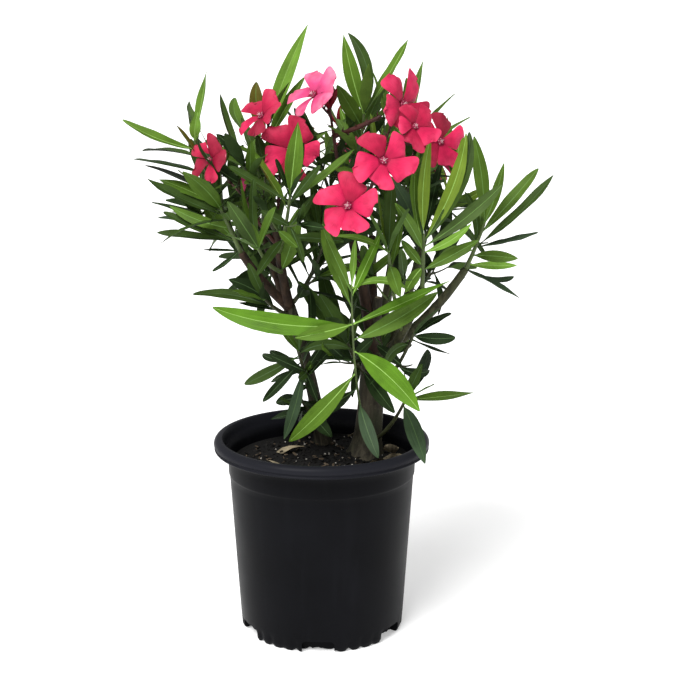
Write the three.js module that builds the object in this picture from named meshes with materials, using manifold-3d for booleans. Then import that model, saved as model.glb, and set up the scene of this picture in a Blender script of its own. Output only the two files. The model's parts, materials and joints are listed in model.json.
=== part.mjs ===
// A potted oleander: two woody stems that fork into boughs, whorled leafy shoots and
// trusses of pink blossom, in a black nursery pot filled with bark mix.
import * as THREE from "three";
import { mergeVertices } from "three/addons/utils/BufferGeometryUtils.js";
import Module from "manifold-3d";

const wasm = await Module();
wasm.setup();

// Driving dimensions, in millimetres. The pot's axis is x = y = 0 and it stands on z = 0.
const POT_HEIGHT = 217;
const RIM_RADIUS = 118;
const LIP_HEIGHT = 13;
const SHOULDER_RADIUS = 102;
const FOOT_RADIUS = 88;
const WALL = 2;
const BASE_THICKNESS = 4;
const NOTCHES = 6;
const NOTCH_HEIGHT = 13.5;
const NOTCH_WIDTH = 34;
const NOTCH_DEPTH = 9;
const NOTCH_CORNER = 5;
const NOTCH_TURN = -94.4;
const SOIL_TOP = 190;
const POT_SIDES = 40;

// Clearances: under the limbs, between other pieces that meet, and round each leaf.
const SOIL_CLEAR = 0.3;
const SEAT_CLEAR = 0.4;
const LEAF_CLEAR = 0.4;

// The photographed side, which the marked leaves turn their upper face to.
const FACING = new THREE.Vector3(0, -0.8, 0.6);

// Colours from the photograph.
const finish = (color, roughness) =>
  new THREE.MeshStandardMaterial({ color, roughness, metalness: 0 });
const BLACK_PLASTIC = finish(0x212224, 0.45);
const BARK_MIX = finish(0x2b211b, 0.95);
const BARK = finish(0x5c4f43, 0.9);
const LEAF_GREEN = finish(0x3c7a2c, 0.55);
const YOUNG_GREEN = finish(0x6bae35, 0.5);
const OLD_GREEN = finish(0x24452a, 0.55);
const BLOSSOM = finish(0xe0356c, 0.6);

// How the limbs are made: a flared one is a stem that stands on the soil.
const ROOTED = 6;
const STEM_SIDES = 10;
const STEM_STEPS = 8;
const BOUGH_SIDES = 6;
const BOUGH_STEPS = 3;
const FLARE_FALL = 11;
const FLARE_RIPPLE = 0.35;
const COLLAR = 1.2;
const COLLAR_FALL = 20;
const BOW_DROP = 0.6;

// Woody limbs. Each starts at a fraction of its parent's length, or at a foot on the soil.
const LIMBS = [
  { name: "trunk", foot: [49, 24], to: [58, 30, 303], bow: 0.02, radii: [16, 12.5], flare: 9 },
  { name: "left_stem", foot: [2, 62], to: [-36, 15, 362], bow: -0.06, radii: [7.5, 6.5], flare: 4 },
  { name: "bough_centre", from: "trunk", at: 0.97, to: [23, 10, 469], bow: -0.05, radii: [7.5, 4] },
  { name: "bough_right", from: "trunk", at: 0.93, to: [157, 20, 399], bow: 0.1, radii: [7, 4.5] },
  { name: "bough_right_inner", from: "trunk", at: 0.99, to: [80, 45, 419], bow: 0.05,
    radii: [7, 4.5] },
  { name: "bough_front_right", from: "trunk", at: 0.8, to: [105, -55, 393], bow: 0.1,
    radii: [6, 3.8] },
  { name: "bough_back", from: "trunk", at: 0.9, to: [59, 140, 416], bow: 0.1, radii: [7, 4.2] },
  { name: "bough_back_right", from: "trunk", at: 0.72, to: [118, 115, 420], bow: 0.1,
    radii: [6, 4] },
  { name: "pruned_stub", from: "trunk", at: 0.98, to: [62, 20, 367], bow: 0, radii: [5.5, 4.8] },
  { name: "bough_left_outer", from: "left_stem", at: 0.97, to: [-86, 5, 420], bow: 0.08,
    radii: [5.5, 4] },
  { name: "bough_left_upper", from: "left_stem", at: 0.99, to: [-48, -20, 449], bow: 0.04,
    radii: [5.5, 3.8] },
  { name: "bough_left_back", from: "left_stem", at: 0.85, to: [-67, 110, 433], bow: 0.1,
    radii: [5.5, 3.8] },
];

// Leafy shoots. leaf is length and width; marked leaves are those that can be told apart in
// the photograph: along the stem, compass bearing from +X, rise above level, length, width.
const SHOOTS = [
  { name: "left_tip", limb: "bough_left_outer", at: 0.99, to: [-132, -10, 543], bow: 0.03,
    whorls: 2, leaf: [90, 13], phase: 40, tone: "mature", seed: 3,
    marked: [[0.9, 200, 24, 92, 13], [0.84, 150, 2, 85, 11], [0.98, 35, 74, 76, 13],
      [0.97, 269, 47, 66, 15], [0.8, 245, 30, 80, 13], [0.47, 194, 29, 98, 10],
      [0.42, 158, 20, 90, 11], [0.34, 200, 24, 105, 13], [0.36, 239, 34, 92, 17],
      [0.22, 222, 28, 86, 16], [0.1, 187, 22, 92, 14], [0.12, 100, 20, 86, 14],
      [0.5, 60, 30, 84, 13]] },
  { name: "left_behind", limb: "bough_left_outer", at: 0.5, to: [-112, 66, 468], bow: 0.1,
    whorls: 4, leaf: [92, 15], phase: 80, tone: "old", seed: 5 },
  { name: "left_mid", limb: "bough_left_upper", at: 0.97, to: [-84, -24, 531], bow: 0.06,
    whorls: 4, leaf: [88, 14], phase: 10, tone: "old", seed: 7,
    marked: [[0.7, 209, 34, 84, 15], [0.95, 180, 70, 70, 14], [0.55, 234, 40, 90, 15],
      [0.66, 273, 52, 78, 14]] },
  { name: "centre_left", limb: "bough_left_upper", at: 0.7, to: [-31, -80, 492], bow: 0.12,
    whorls: 4, leaf: [84, 15], phase: 25, tone: "mature", seed: 11,
    marked: [[0.97, 305, 80, 80, 18], [0.9, 335, 34, 80, 11], [0.8, 165, 52, 70, 13],
      [0.5, 251, 14, 76, 16]] },
  { name: "top_left", limb: "bough_left_back", at: 0.98, to: [-57, 45, 551], bow: 0.1,
    whorls: 5, leaf: [92, 14], phase: 0, tone: "young", seed: 13,
    marked: [[0.97, 13, 69, 122, 19], [0.9, 240, 66, 68, 15], [0.84, 150, 38, 80, 12]] },
  { name: "centre_top", limb: "bough_centre", at: 0.9, to: [46, 28, 566], bow: 0.04,
    whorls: 4, leaf: [86, 14], phase: 70, tone: "young", seed: 17,
    marked: [[0.98, 205, 70, 92, 17], [0.96, 0, 66, 94, 15, 70], [0.97, 12, 60, 96, 13],
      [0.86, 240, 34, 84, 17], [0.9, 50, 42, 78, 13]] },
  { name: "centre_upper", limb: "bough_centre", at: 0.72, to: [-4, 58, 524], bow: 0.1,
    whorls: 4, leaf: [90, 14], phase: 55, tone: "old", seed: 19 },
  { name: "front", limb: "trunk", at: 0.22, to: [31, -76, 399], bow: 0.24,
    whorls: 0, leaf: [70, 14], phase: 0, tone: "young", seed: 23,
    marked: [[0.81, 183, 5, 148, 27, -8], [0.78, 206, -6, 84, 21], [0.84, 6, 24, 106, 15],
      [0.74, 353, 34, 108, 22], [0.97, 318, 4, 82, 15, -25], [0.97, 203, 60, 66, 14],
      [0.99, 75, 78, 60, 13], [0.97, 45, 52, 62, 12], [0.95, 292, 42, 66, 13],
      [0.68, 318, -33, 98, 26, -10], [0.55, 195, -38, 108, 22, 10], [0.33, 295, -62, 76, 15],
      [0.6, 140, 10, 80, 16], [0.45, 165, -12, 70, 18]] },
  { name: "inner_front", limb: "trunk", at: 0.74, to: [28, -18, 326], bow: 0.14,
    whorls: 2, leaf: [84, 17], phase: 15, tone: "old", seed: 27,
    marked: [[0.92, 205, 70, 98, 20], [0.88, 165, 52, 92, 17], [0.86, 330, 72, 96, 16]] },
  { name: "right_front", limb: "bough_front_right", at: 0.99, to: [105, -62, 450], bow: 0.02,
    whorls: 1, leaf: [80, 14], phase: 30, tone: "young", seed: 29,
    marked: [[0.96, 356, 84, 100, 14], [0.86, 346, 68, 122, 20], [0.9, 290, 58, 100, 15],
      [0.76, 345, 40, 106, 18], [0.86, 164, 58, 82, 13], [0.68, 247, 44, 80, 14],
      [0.4, 258, -6, 78, 17], [0.66, 60, 40, 84, 14], [0.34, 15, 26, 70, 15]] },
  { name: "right_outer", limb: "bough_right", at: 0.99, to: [176, 18, 450], bow: 0.03,
    whorls: 1, leaf: [84, 14], phase: 95, tone: "mature", seed: 31,
    marked: [[0.96, 130, 80, 96, 16], [0.92, 325, 64, 78, 15], [0.76, 342, 44, 102, 14, 12],
      [0.5, 8, 30, 122, 14, 26], [0.5, 335, 14, 80, 11], [0.28, 318, 4, 70, 17],
      [0.7, 227, 38, 80, 14], [0.6, 80, 30, 88, 15], [0.4, 200, 8, 74, 14],
      [0.14, 15, 0, 84, 8], [0.1, 340, -20, 78, 8]] },
  { name: "right_top", limb: "bough_right_inner", at: 0.99, to: [97, 58, 548], bow: 0.04,
    whorls: 5, leaf: [84, 14], phase: 15, tone: "mature", seed: 37,
    marked: [[0.98, 38, 76, 78, 12]] },
  { name: "right_inner", limb: "bough_right_inner", at: 0.85, to: [92, 4, 490], bow: 0.12,
    whorls: 4, leaf: [86, 15], phase: 60, tone: "old", seed: 41 },
  { name: "right_low", limb: "trunk", at: 0.6, to: [98, -34, 340], bow: 0.12,
    whorls: 2, leaf: [58, 13], phase: 20, tone: "old", seed: 43,
    marked: [[0.96, 348, 4, 56, 12], [0.94, 13, 26, 56, 12], [0.74, 292, -24, 66, 15],
      [0.56, 242, -34, 64, 15]] },
  { name: "foot_right", limb: "trunk", at: 0.12, to: [90, -34, 268], bow: 0.14,
    whorls: 1, leaf: [60, 13], phase: 75, tone: "old", seed: 47,
    marked: [[0.9, 284, -32, 88, 18], [0.97, 352, 12, 76, 11], [0.96, 22, 60, 70, 14]] },
  { name: "left_low", limb: "left_stem", at: 0.42, to: [-24, -16, 316], bow: 0.1,
    whorls: 2, leaf: [62, 12], phase: 50, tone: "old", seed: 53,
    marked: [[0.6, 222, -60, 88, 14], [0.9, 189, -20, 70, 13], [0.76, 224, -26, 70, 13],
      [0.94, 328, 32, 58, 14]] },
  { name: "left_dark", limb: "left_stem", at: 0.9, to: [-60, -14, 372], bow: 0.1,
    whorls: 1, leaf: [64, 13], phase: 35, tone: "old", seed: 59,
    marked: [[0.88, 203, 26, 66, 17], [0.8, 187, 6, 88, 12], [0.92, 154, 18, 78, 11]] },
  { name: "left_foot", limb: "left_stem", at: 0.18, to: [-24, 40, 250], bow: 0.12,
    whorls: 2, leaf: [58, 15], phase: 5, tone: "old", seed: 61 },
  { name: "inner_centre", limb: "left_stem", at: 0.97, to: [2, 8, 426], bow: 0.1,
    whorls: 5, leaf: [92, 16], phase: 85, tone: "old", seed: 67 },
  { name: "front_left", limb: "bough_left_upper", at: 0.45, to: [-64, -76, 438], bow: 0.14,
    whorls: 4, leaf: [84, 15], phase: 45, tone: "mature", seed: 71 },
  { name: "front_mid", limb: "bough_front_right", at: 0.55, to: [68, -82, 436], bow: 0.12,
    whorls: 4, leaf: [86, 14], phase: 65, tone: "mature", seed: 73 },
  { name: "back_left", limb: "bough_left_back", at: 0.8, to: [-112, 124, 455], bow: 0.12,
    whorls: 4, leaf: [95, 15], phase: 30, tone: "mature", seed: 81, side: 1 },
  { name: "back_left_low", limb: "bough_left_back", at: 0.45, to: [-70, 128, 396], bow: 0.14,
    whorls: 4, leaf: [72, 15], phase: 70, tone: "old", seed: 83 },
  { name: "back_centre", limb: "bough_back", at: 0.98, to: [34, 152, 516], bow: 0.08,
    whorls: 4, leaf: [92, 15], phase: 10, tone: "young", seed: 89, side: 1 },
  { name: "back_top", limb: "bough_back", at: 0.72, to: [70, 108, 560], bow: 0.06,
    whorls: 5, leaf: [90, 14], phase: 50, tone: "mature", seed: 97 },
  { name: "back_right", limb: "bough_back_right", at: 0.98, to: [150, 120, 478], bow: 0.1,
    whorls: 4, leaf: [94, 15], phase: 90, tone: "mature", seed: 101, side: 1 },
  { name: "back_right_low", limb: "bough_back_right", at: 0.5, to: [140, 130, 408], bow: 0.12,
    whorls: 4, leaf: [76, 15], phase: 20, tone: "old", seed: 103 },
  { name: "back_low", limb: "trunk", at: 0.66, to: [52, 112, 324], bow: 0.12,
    whorls: 3, leaf: [84, 16], phase: 60, tone: "old", seed: 107 },
];

// Flower trusses. Each flower: its middle, the bearing and rise it faces, and its share of a
// full flower. Buds stand at the truss's tip.
const TRUSSES = [
  { name: "centre", limb: "bough_centre", at: 0.99, to: [9, -4, 572], bow: -0.02, buds: 4,
    flowers: [[[-13, -8, 587], 225, 45, 0.95]] },
  { name: "right", limb: "bough_centre", at: 0.87, to: [66, -30, 545], bow: 0.16, buds: 1,
    flowers: [[[81, -56, 580], 275, 25, 1], [[96, -72, 560], 300, 5, 0.95],
      [[122, -42, 536], 330, 0, 0.95]] },
  { name: "front", limb: "bough_centre", at: 0.8, to: [46, -62, 492], bow: 0.14, buds: 0,
    flowers: [[[61, -105, 527], 272, 22, 1.02], [[28, -118, 487], 262, 16, 1.02]] },
  { name: "left", limb: "bough_left_upper", at: 0.9, to: [-42, -6, 528], bow: 0.02, buds: 1,
    flowers: [[[-56, -14, 570], 200, 30, 0.95], [[-26, -34, 540], 285, 20, 0.95]] },
  { name: "far_left", limb: "bough_left_upper", at: 0.8, to: [-96, -36, 496], bow: 0.1, buds: 1,
    flowers: [[[-114, -40, 516], 215, 15, 0.85]] },
  { name: "back", limb: "bough_back", at: 0.86, to: [20, 176, 540], bow: 0.06, buds: 3,
    flowers: [[[-2, 190, 556], 130, 25, 1], [[30, 200, 530], 80, 15, 1]] },
  { name: "back_right", limb: "bough_back_right", at: 0.88, to: [118, 146, 488], bow: 0.08, buds: 2,
    flowers: [[[104, 170, 508], 100, 25, 1], [[140, 168, 498], 60, 10, 0.95]] },
];

// The dome that the tips of the whorled leaves stay under: its top, the x it stands over,
// and how far it has dropped at its half width and, behind, at its half depth.
const DOME = { top: 628, x: 30, halfWidth: 235, sideDrop: 150, halfDepth: 240, backDrop: 90 };

// Twigs, leaves and blossom.
const TWIG_RADII = [2.6, 1.5];
const TRUSS_RADII = [2.3, 1.3];
const TWIG_SIDES = 3;
const TRUSS_SIDES = 4;
const TWIG_STEPS = 5;
const SIDE_TWIG = { at: 0.5, apart: 0.18, turn: 140, share: 0.5, forward: 0.75, outward: 0.66,
  thinner: 0.7, smaller: 0.85, whorls: 2, bow: 0.1 };
const BARE_STEM = 0.3;
const YOUNG_FROM = 0.9;
const YOUNG_SHARE = 0.78;
const LEAVES_A_WHORL = 3;
const WHORL_TURN = 60;
const SPREAD_LOW = 66;
const SPREAD_TOP = 26;
const MOST_DROOP = 0.5;
const LEAF_KEEL = 0.016;
const LEAF_SECTIONS = [[0.32, 1], [0.68, 0.84]];
const FREE_LEAF = 0.22;
const FLOWER_RADIUS = 31;
const FLOWER_CUP = 4;
const THROAT_DEPTH = 3;
const FLOWER_BACK = 8;
const FLOWER_STALK = [1.4, 3];
const FLOWERS_FROM = 0.93;
const PETALS = 5;
const PETAL_OUTLINE = [[-36, 0.42], [-24, 0.88], [3, 1], [26, 0.8]];
const BUD = { length: 25, neck: 9, ends: 0.9, swell: 2.6, turn: 100, spread: 0.55, reach: 8 };
const SMALLEST_EDGE = 0.03;
const TURNS = [0, 10, -10, 20, -20, 32, -32];

// Numbers between 0 and 1 that are the same each time for one seed.
function dice(seed) {
  let state = seed >>> 0;
  return () => {
    state = (state + 0x6d2b79f5) >>> 0;
    let t = Math.imul(state ^ (state >>> 15), state | 1);
    t ^= t + Math.imul(t ^ (t >>> 7), t | 61);
    return ((t ^ (t >>> 14)) >>> 0) / 4294967296;
  };
}

const radians = THREE.MathUtils.degToRad;
const mix = THREE.MathUtils.lerp;
const UP = new THREE.Vector3(0, 0, 1);

function heading(bearing, rise) {
  const level = Math.cos(radians(rise));
  return new THREE.Vector3(
    level * Math.cos(radians(bearing)),
    level * Math.sin(radians(bearing)),
    Math.sin(radians(rise)),
  );
}

// A curve from start to end whose middle swings out and down by bow times its length.
function sweep(start, end, bow) {
  const along = end.clone().sub(start);
  const across = new THREE.Vector3(along.x, along.y, 0);
  if (across.length() < 1) across.set(1, 0, 0);
  across.normalize();
  const normal = across.addScaledVector(UP, -BOW_DROP).normalize();
  const middle = start.clone().lerp(end, 0.5).addScaledVector(normal, bow * along.length());
  return new THREE.QuadraticBezierCurve3(start, middle, end);
}

// Solids

function toSolid(positions, faces) {
  const mesh = new wasm.Mesh({
    numProp: 3,
    vertProperties: new Float32Array(positions.flatMap((p) => [p.x, p.y, p.z])),
    triVerts: new Uint32Array(faces.flat()),
  });
  const solid = new wasm.Manifold(mesh);
  if (solid.volume() > 0) return solid;
  return toSolid(positions, faces.map(([a, b, c]) => [a, c, b]));
}

function geometryToSolid(geometry) {
  const bare = geometry.clone();
  bare.deleteAttribute("normal");
  bare.deleteAttribute("uv");
  const merged = mergeVertices(bare, 1e-3);
  return new wasm.Manifold(
    new wasm.Mesh({
      numProp: 3,
      vertProperties: new Float32Array(merged.attributes.position.array),
      triVerts: new Uint32Array(merged.index.array),
    }),
  );
}

// The largest body of a solid, without loose scraps and sealed hollows.
function mainBody(solid) {
  const bodies = solid.decompose();
  return bodies.reduce((a, b) => (b.volume() > a.volume() ? b : a));
}

function toMesh(name, solid, material) {
  const { numProp, vertProperties, triVerts } = solid.getMesh();
  const count = vertProperties.length / numProp;
  const positions = new Float32Array(count * 3);
  for (let i = 0; i < count; i++) {
    positions.set(vertProperties.subarray(i * numProp, i * numProp + 3), i * 3);
  }
  const geometry = new THREE.BufferGeometry();
  geometry.setAttribute("position", new THREE.BufferAttribute(positions, 3));
  geometry.setIndex(new THREE.BufferAttribute(triVerts, 1));
  geometry.computeVertexNormals();
  const mesh = new THREE.Mesh(geometry, material);
  mesh.name = name;
  return mesh;
}

// A round tube along a curve; radiusAt gives its radius by the share of length and the angle.
function tube(curve, sides, steps, radiusAt) {
  const positions = [];
  const faces = [];
  let side = new THREE.Vector3().crossVectors(curve.getTangent(0), new THREE.Vector3(0.3, 1, 0.2));
  for (let i = 0; i <= steps; i++) {
    const t = i / steps;
    const tangent = curve.getTangent(t);
    side = side.addScaledVector(tangent, -side.dot(tangent)).normalize();
    const other = new THREE.Vector3().crossVectors(tangent, side);
    for (let j = 0; j < sides; j++) {
      const angle = (2 * Math.PI * j) / sides;
      const radius = radiusAt(t, angle);
      const point = curve.getPoint(t);
      point.addScaledVector(side, radius * Math.cos(angle));
      positions.push(point.addScaledVector(other, radius * Math.sin(angle)));
    }
  }
  for (let i = 0; i < steps; i++) {
    for (let j = 0; j < sides; j++) {
      const a = i * sides + j;
      const b = i * sides + ((j + 1) % sides);
      faces.push([a, b, b + sides], [a, b + sides, a + sides]);
    }
  }
  const last = steps * sides;
  for (let j = 1; j < sides - 1; j++) {
    faces.push([0, j + 1, j], [last, last + j, last + j + 1]);
  }
  return toSolid(positions, faces);
}

function boxAround(x0, x1, y0, y1, z0, z1) {
  const box = new THREE.BoxGeometry(x1 - x0, y1 - y0, z1 - z0);
  box.translate((x0 + x1) / 2, (y0 + y1) / 2, (z0 + z1) / 2);
  return geometryToSolid(box);
}

// Pot and soil

function arcPoints(x, y, radius, from, to, steps) {
  return Array.from({ length: steps + 1 }, (_, i) => {
    const angle = radians(mix(from, to, i / steps));
    return new THREE.Vector2(x + radius * Math.cos(angle), y + radius * Math.sin(angle));
  });
}

function turned(profile, sides) {
  const lathe = new THREE.LatheGeometry(profile, sides);
  lathe.rotateX(Math.PI / 2);
  const solid = geometryToSolid(lathe);
  if (solid.volume() > 0) return solid;
  return geometryToSolid(new THREE.LatheGeometry([...profile].reverse(), sides).rotateX(Math.PI / 2));
}

const LIP_BOTTOM = POT_HEIGHT - LIP_HEIGHT;
const BAND_BOTTOM = POT_HEIGHT - 41;
const RING_TOP = NOTCH_HEIGHT + WALL;
const RING_RADIUS = FOOT_RADIUS - NOTCH_DEPTH - WALL;
const CUT_DEPTH = 30;
const ROLL_RADIUS = 6.5;
const WALL_FOOT = RING_TOP + 8;
const wallRadius = (z) => mix(FOOT_RADIUS + 1.6, SHOULDER_RADIUS - 1, z / BAND_BOTTOM);
const onProfile = (points) => points.map(([radius, z]) => new THREE.Vector2(radius, z));

// The wall stands on a solid foot ring, which holds the notches, so none opens into the pot.
function potProfile() {
  const outside = [
    [0, 0],
    [FOOT_RADIUS - 1, 0],
    [FOOT_RADIUS + 0.6, 2],
    [wallRadius(BAND_BOTTOM), BAND_BOTTOM],
    [SHOULDER_RADIUS, BAND_BOTTOM + 2],
    [SHOULDER_RADIUS + 0.6, LIP_BOTTOM - 9],
    [SHOULDER_RADIUS + 3.5, LIP_BOTTOM - 1],
    [RIM_RADIUS - 1.4, LIP_BOTTOM],
  ];
  const inside = [
    [RIM_RADIUS - 10.5, POT_HEIGHT - 3],
    [RIM_RADIUS - 14, LIP_BOTTOM - 1],
    [SHOULDER_RADIUS - WALL - 0.6, LIP_BOTTOM - 7],
    [wallRadius(WALL_FOOT) - WALL, WALL_FOOT],
    [RING_RADIUS, RING_TOP],
    [RING_RADIUS, BASE_THICKNESS],
    [0, BASE_THICKNESS],
  ];
  const roll = arcPoints(RIM_RADIUS - ROLL_RADIUS, POT_HEIGHT - ROLL_RADIUS, ROLL_RADIUS, -15, 110, 4);
  return [...onProfile(outside), ...roll, ...onProfile(inside)];
}

function notchArch() {
  const half = NOTCH_WIDTH / 2;
  const below = -2;
  return new THREE.Shape([
    new THREE.Vector2(-half, below),
    new THREE.Vector2(half, below),
    new THREE.Vector2(half, NOTCH_HEIGHT - NOTCH_CORNER),
    new THREE.Vector2(half - NOTCH_CORNER, NOTCH_HEIGHT),
    new THREE.Vector2(NOTCH_CORNER - half, NOTCH_HEIGHT),
    new THREE.Vector2(-half, NOTCH_HEIGHT - NOTCH_CORNER),
  ]);
}

function potSolid() {
  let pot = turned(potProfile(), POT_SIDES);
  for (let i = 0; i < NOTCHES; i++) {
    const cut = new THREE.ExtrudeGeometry(notchArch(), { depth: CUT_DEPTH, bevelEnabled: false });
    cut.rotateX(Math.PI / 2);
    cut.translate(0, NOTCH_DEPTH - FOOT_RADIUS, 0);
    cut.rotateZ(radians(NOTCH_TURN + 90 + (360 / NOTCHES) * i));
    pot = pot.subtract(geometryToSolid(cut));
  }
  return mainBody(pot);
}

function soilSolid() {
  const bottom = BASE_THICKNESS + SEAT_CLEAR;
  const ring = RING_RADIUS - SEAT_CLEAR;
  return turned(
    onProfile([
      [0, bottom],
      [ring, bottom],
      [ring, RING_TOP + SEAT_CLEAR],
      [wallRadius(WALL_FOOT) - WALL - SEAT_CLEAR, WALL_FOOT + SEAT_CLEAR],
      [SHOULDER_RADIUS - WALL - 1.8, SOIL_TOP],
      [0, SOIL_TOP],
    ]),
    POT_SIDES,
  );
}

// Limbs

const curves = new Map();
const clearances = new Map();

function limbCurve(limb) {
  const start = limb.foot
    ? new THREE.Vector3(...limb.foot, SOIL_TOP - ROOTED)
    : curves.get(limb.from).getPoint(limb.at);
  return sweep(start, new THREE.Vector3(...limb.to), limb.bow);
}

// A tapering limb, extra wider all round and longer at both ends.
function limbSolid(limb, extra) {
  const [thick, thin] = limb.radii;
  const flare = limb.flare || 0;
  const radiusAt = (t, angle) => {
    const root = flare * Math.exp(-t * FLARE_FALL) * (1 + FLARE_RIPPLE * Math.cos(3 * angle + 1));
    const collar = limb.foot ? 0 : COLLAR * Math.exp(-t * COLLAR_FALL);
    return mix(thick, thin, t) + root + collar + extra;
  };
  const { v0, v1, v2 } = curves.get(limb.name);
  const first = v0.clone().addScaledVector(v1.clone().sub(v0).normalize(), -extra);
  const last = v2.clone().addScaledVector(v2.clone().sub(v1).normalize(), extra);
  const curve = new THREE.QuadraticBezierCurve3(first, v1, last);
  if (limb.foot) return tube(curve, STEM_SIDES, STEM_STEPS, radiusAt);
  return tube(curve, BOUGH_SIDES, BOUGH_STEPS, radiusAt);
}

const ground = boxAround(-RIM_RADIUS, RIM_RADIUS, -RIM_RADIUS, RIM_RADIUS, 0, SOIL_TOP + SOIL_CLEAR);
const solids = new Map();

for (const limb of LIMBS) {
  curves.set(limb.name, limbCurve(limb));
  let solid = limbSolid(limb, 0).subtract(ground);
  for (const earlier of clearances.values()) {
    solid = solid.subtract(earlier);
  }
  solids.set(limb.name, mainBody(solid));
  clearances.set(limb.name, limbSolid(limb, SEAT_CLEAR));
}

// Shoots: stems first, so that every leaf can be kept clear of all the wood.

function stemOf(curve, radii, sides) {
  return tube(curve, sides, TWIG_STEPS, (t) => mix(radii[0], radii[1], t));
}

function grow(shoot) {
  const roll = dice(shoot.seed);
  const parent = curves.get(shoot.limb);
  const start = parent.getPoint(shoot.at);
  const end = new THREE.Vector3(...shoot.to);
  const main = sweep(start, end, shoot.bow);
  const twigs = [{ curve: main, radii: TWIG_RADII, whorls: shoot.whorls, size: 1, phase: shoot.phase }];
  for (let i = 0; i < (shoot.side || 0); i++) {
    const at = SIDE_TWIG.at + SIDE_TWIG.apart * i;
    const axis = main.getTangent(at);
    const out = around(axis, shoot.phase + SIDE_TWIG.turn * i + 40 * roll());
    const reach = SIDE_TWIG.share * main.getLength();
    const from = main.getPoint(at);
    const tip = from.clone().addScaledVector(axis, reach * SIDE_TWIG.forward);
    tip.addScaledVector(out, reach * SIDE_TWIG.outward);
    twigs.push({
      curve: sweep(from, tip, SIDE_TWIG.bow),
      radii: TWIG_RADII.map((radius) => radius * SIDE_TWIG.thinner),
      whorls: SIDE_TWIG.whorls,
      size: SIDE_TWIG.smaller,
      phase: 90 * roll(),
    });
  }
  const leaves = (shoot.marked || []).map((mark) => markedLeaf(main, mark));
  for (const twig of twigs) {
    leaves.push(...whorledLeaves(twig, shoot, roll));
  }
  return { twigs, leaves };
}

// The direction across an axis at an angle, in degrees, counted from its upper side.
function around(axis, angle) {
  const level = Math.abs(axis.z) > 0.99 ? new THREE.Vector3(1, 0, 0) : UP.clone();
  const first = level.addScaledVector(axis, -level.dot(axis)).normalize();
  const second = new THREE.Vector3().crossVectors(axis, first);
  return first
    .multiplyScalar(Math.cos(radians(angle)))
    .addScaledVector(second, Math.sin(radians(angle)));
}

function markedLeaf(curve, [along, bearing, rise, length, width, curl = 0]) {
  const root = curve.getPoint(along);
  const out = heading(bearing, rise);
  const droop = rise > 50 ? 0.15 : 0.3;
  return { root, out, axis: curve.getTangent(along), length, width, droop, curl, marked: true };
}

function whorledLeaves({ curve, whorls, size, phase }, { leaf }, roll) {
  const leaves = [];
  for (let k = 0; k < whorls; k++) {
    const share = whorls > 1 ? k / (whorls - 1) : 1;
    const along = mix(BARE_STEM, 0.98, Math.pow(share, 0.8));
    const axis = curve.getTangent(along);
    for (let i = 0; i < LEAVES_A_WHORL; i++) {
      const turn = phase + WHORL_TURN * k + (360 / LEAVES_A_WHORL) * i + 24 * (roll() - 0.5);
      const spread = mix(SPREAD_LOW, SPREAD_TOP, share) + 16 * (roll() - 0.5);
      const young = share > YOUNG_FROM ? YOUNG_SHARE : 1;
      const length = leaf[0] * size * young * (0.85 + 0.3 * roll());
      const width = leaf[1] * Math.sqrt(size) * (0.88 + 0.24 * roll());
      const out = axis.clone().multiplyScalar(Math.cos(radians(spread)));
      out.addScaledVector(around(axis, turn), Math.sin(radians(spread)));
      const droop = MOST_DROOP * (1.1 - share) * (0.6 + 0.8 * roll());
      leaves.push({ root: curve.getPoint(along), out, axis, length, width, droop });
    }
  }
  return leaves;
}

// A leaf on a midrib that droops in a round arc: its root, two three-cornered sections and
// the tip. from is where it starts, as a share of its length.
function leafSolid({ root, out, axis, length, width, droop, curl = 0, marked }, from = 0) {
  const across = marked
    ? new THREE.Vector3().crossVectors(FACING, out).normalize()
    : new THREE.Vector3().crossVectors(axis, out).normalize();
  const face = new THREE.Vector3().crossVectors(out, across);
  const bend = Math.hypot(droop, radians(curl));
  const inward = face.clone().multiplyScalar(-droop / bend);
  inward.addScaledVector(across, radians(curl) / bend);
  const midrib = (t) =>
    root
      .clone()
      .addScaledVector(out, (length * Math.sin(bend * t)) / bend)
      .addScaledVector(inward, (length * (1 - Math.cos(bend * t))) / bend);
  const widthways = (t) =>
    across
      .clone()
      .multiplyScalar(Math.cos(radians(curl * t)))
      .addScaledVector(out, -Math.sin(radians(curl * t)));
  const positions = [midrib(from)];
  for (const [t, share] of LEAF_SECTIONS) {
    const middle = midrib(t);
    const half = (width * share) / 2;
    positions.push(
      middle.clone().addScaledVector(widthways(t), -half),
      middle.clone().addScaledVector(widthways(t), half),
      middle.clone().addScaledVector(face, -length * LEAF_KEEL),
    );
  }
  positions.push(midrib(1));
  const faces = [];
  for (let j = 0; j < 3; j++) {
    const a = 1 + j;
    const b = 1 + ((j + 1) % 3);
    faces.push([0, b, a], [a, b, b + 3], [a, b + 3, a + 3], [a + 3, b + 3, 7]);
  }
  return toSolid(positions, faces);
}

function turnedLeaf(leaf, angle) {
  const out = leaf.out.clone().applyAxisAngle(leaf.axis, radians(angle));
  return { ...leaf, out };
}

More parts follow.
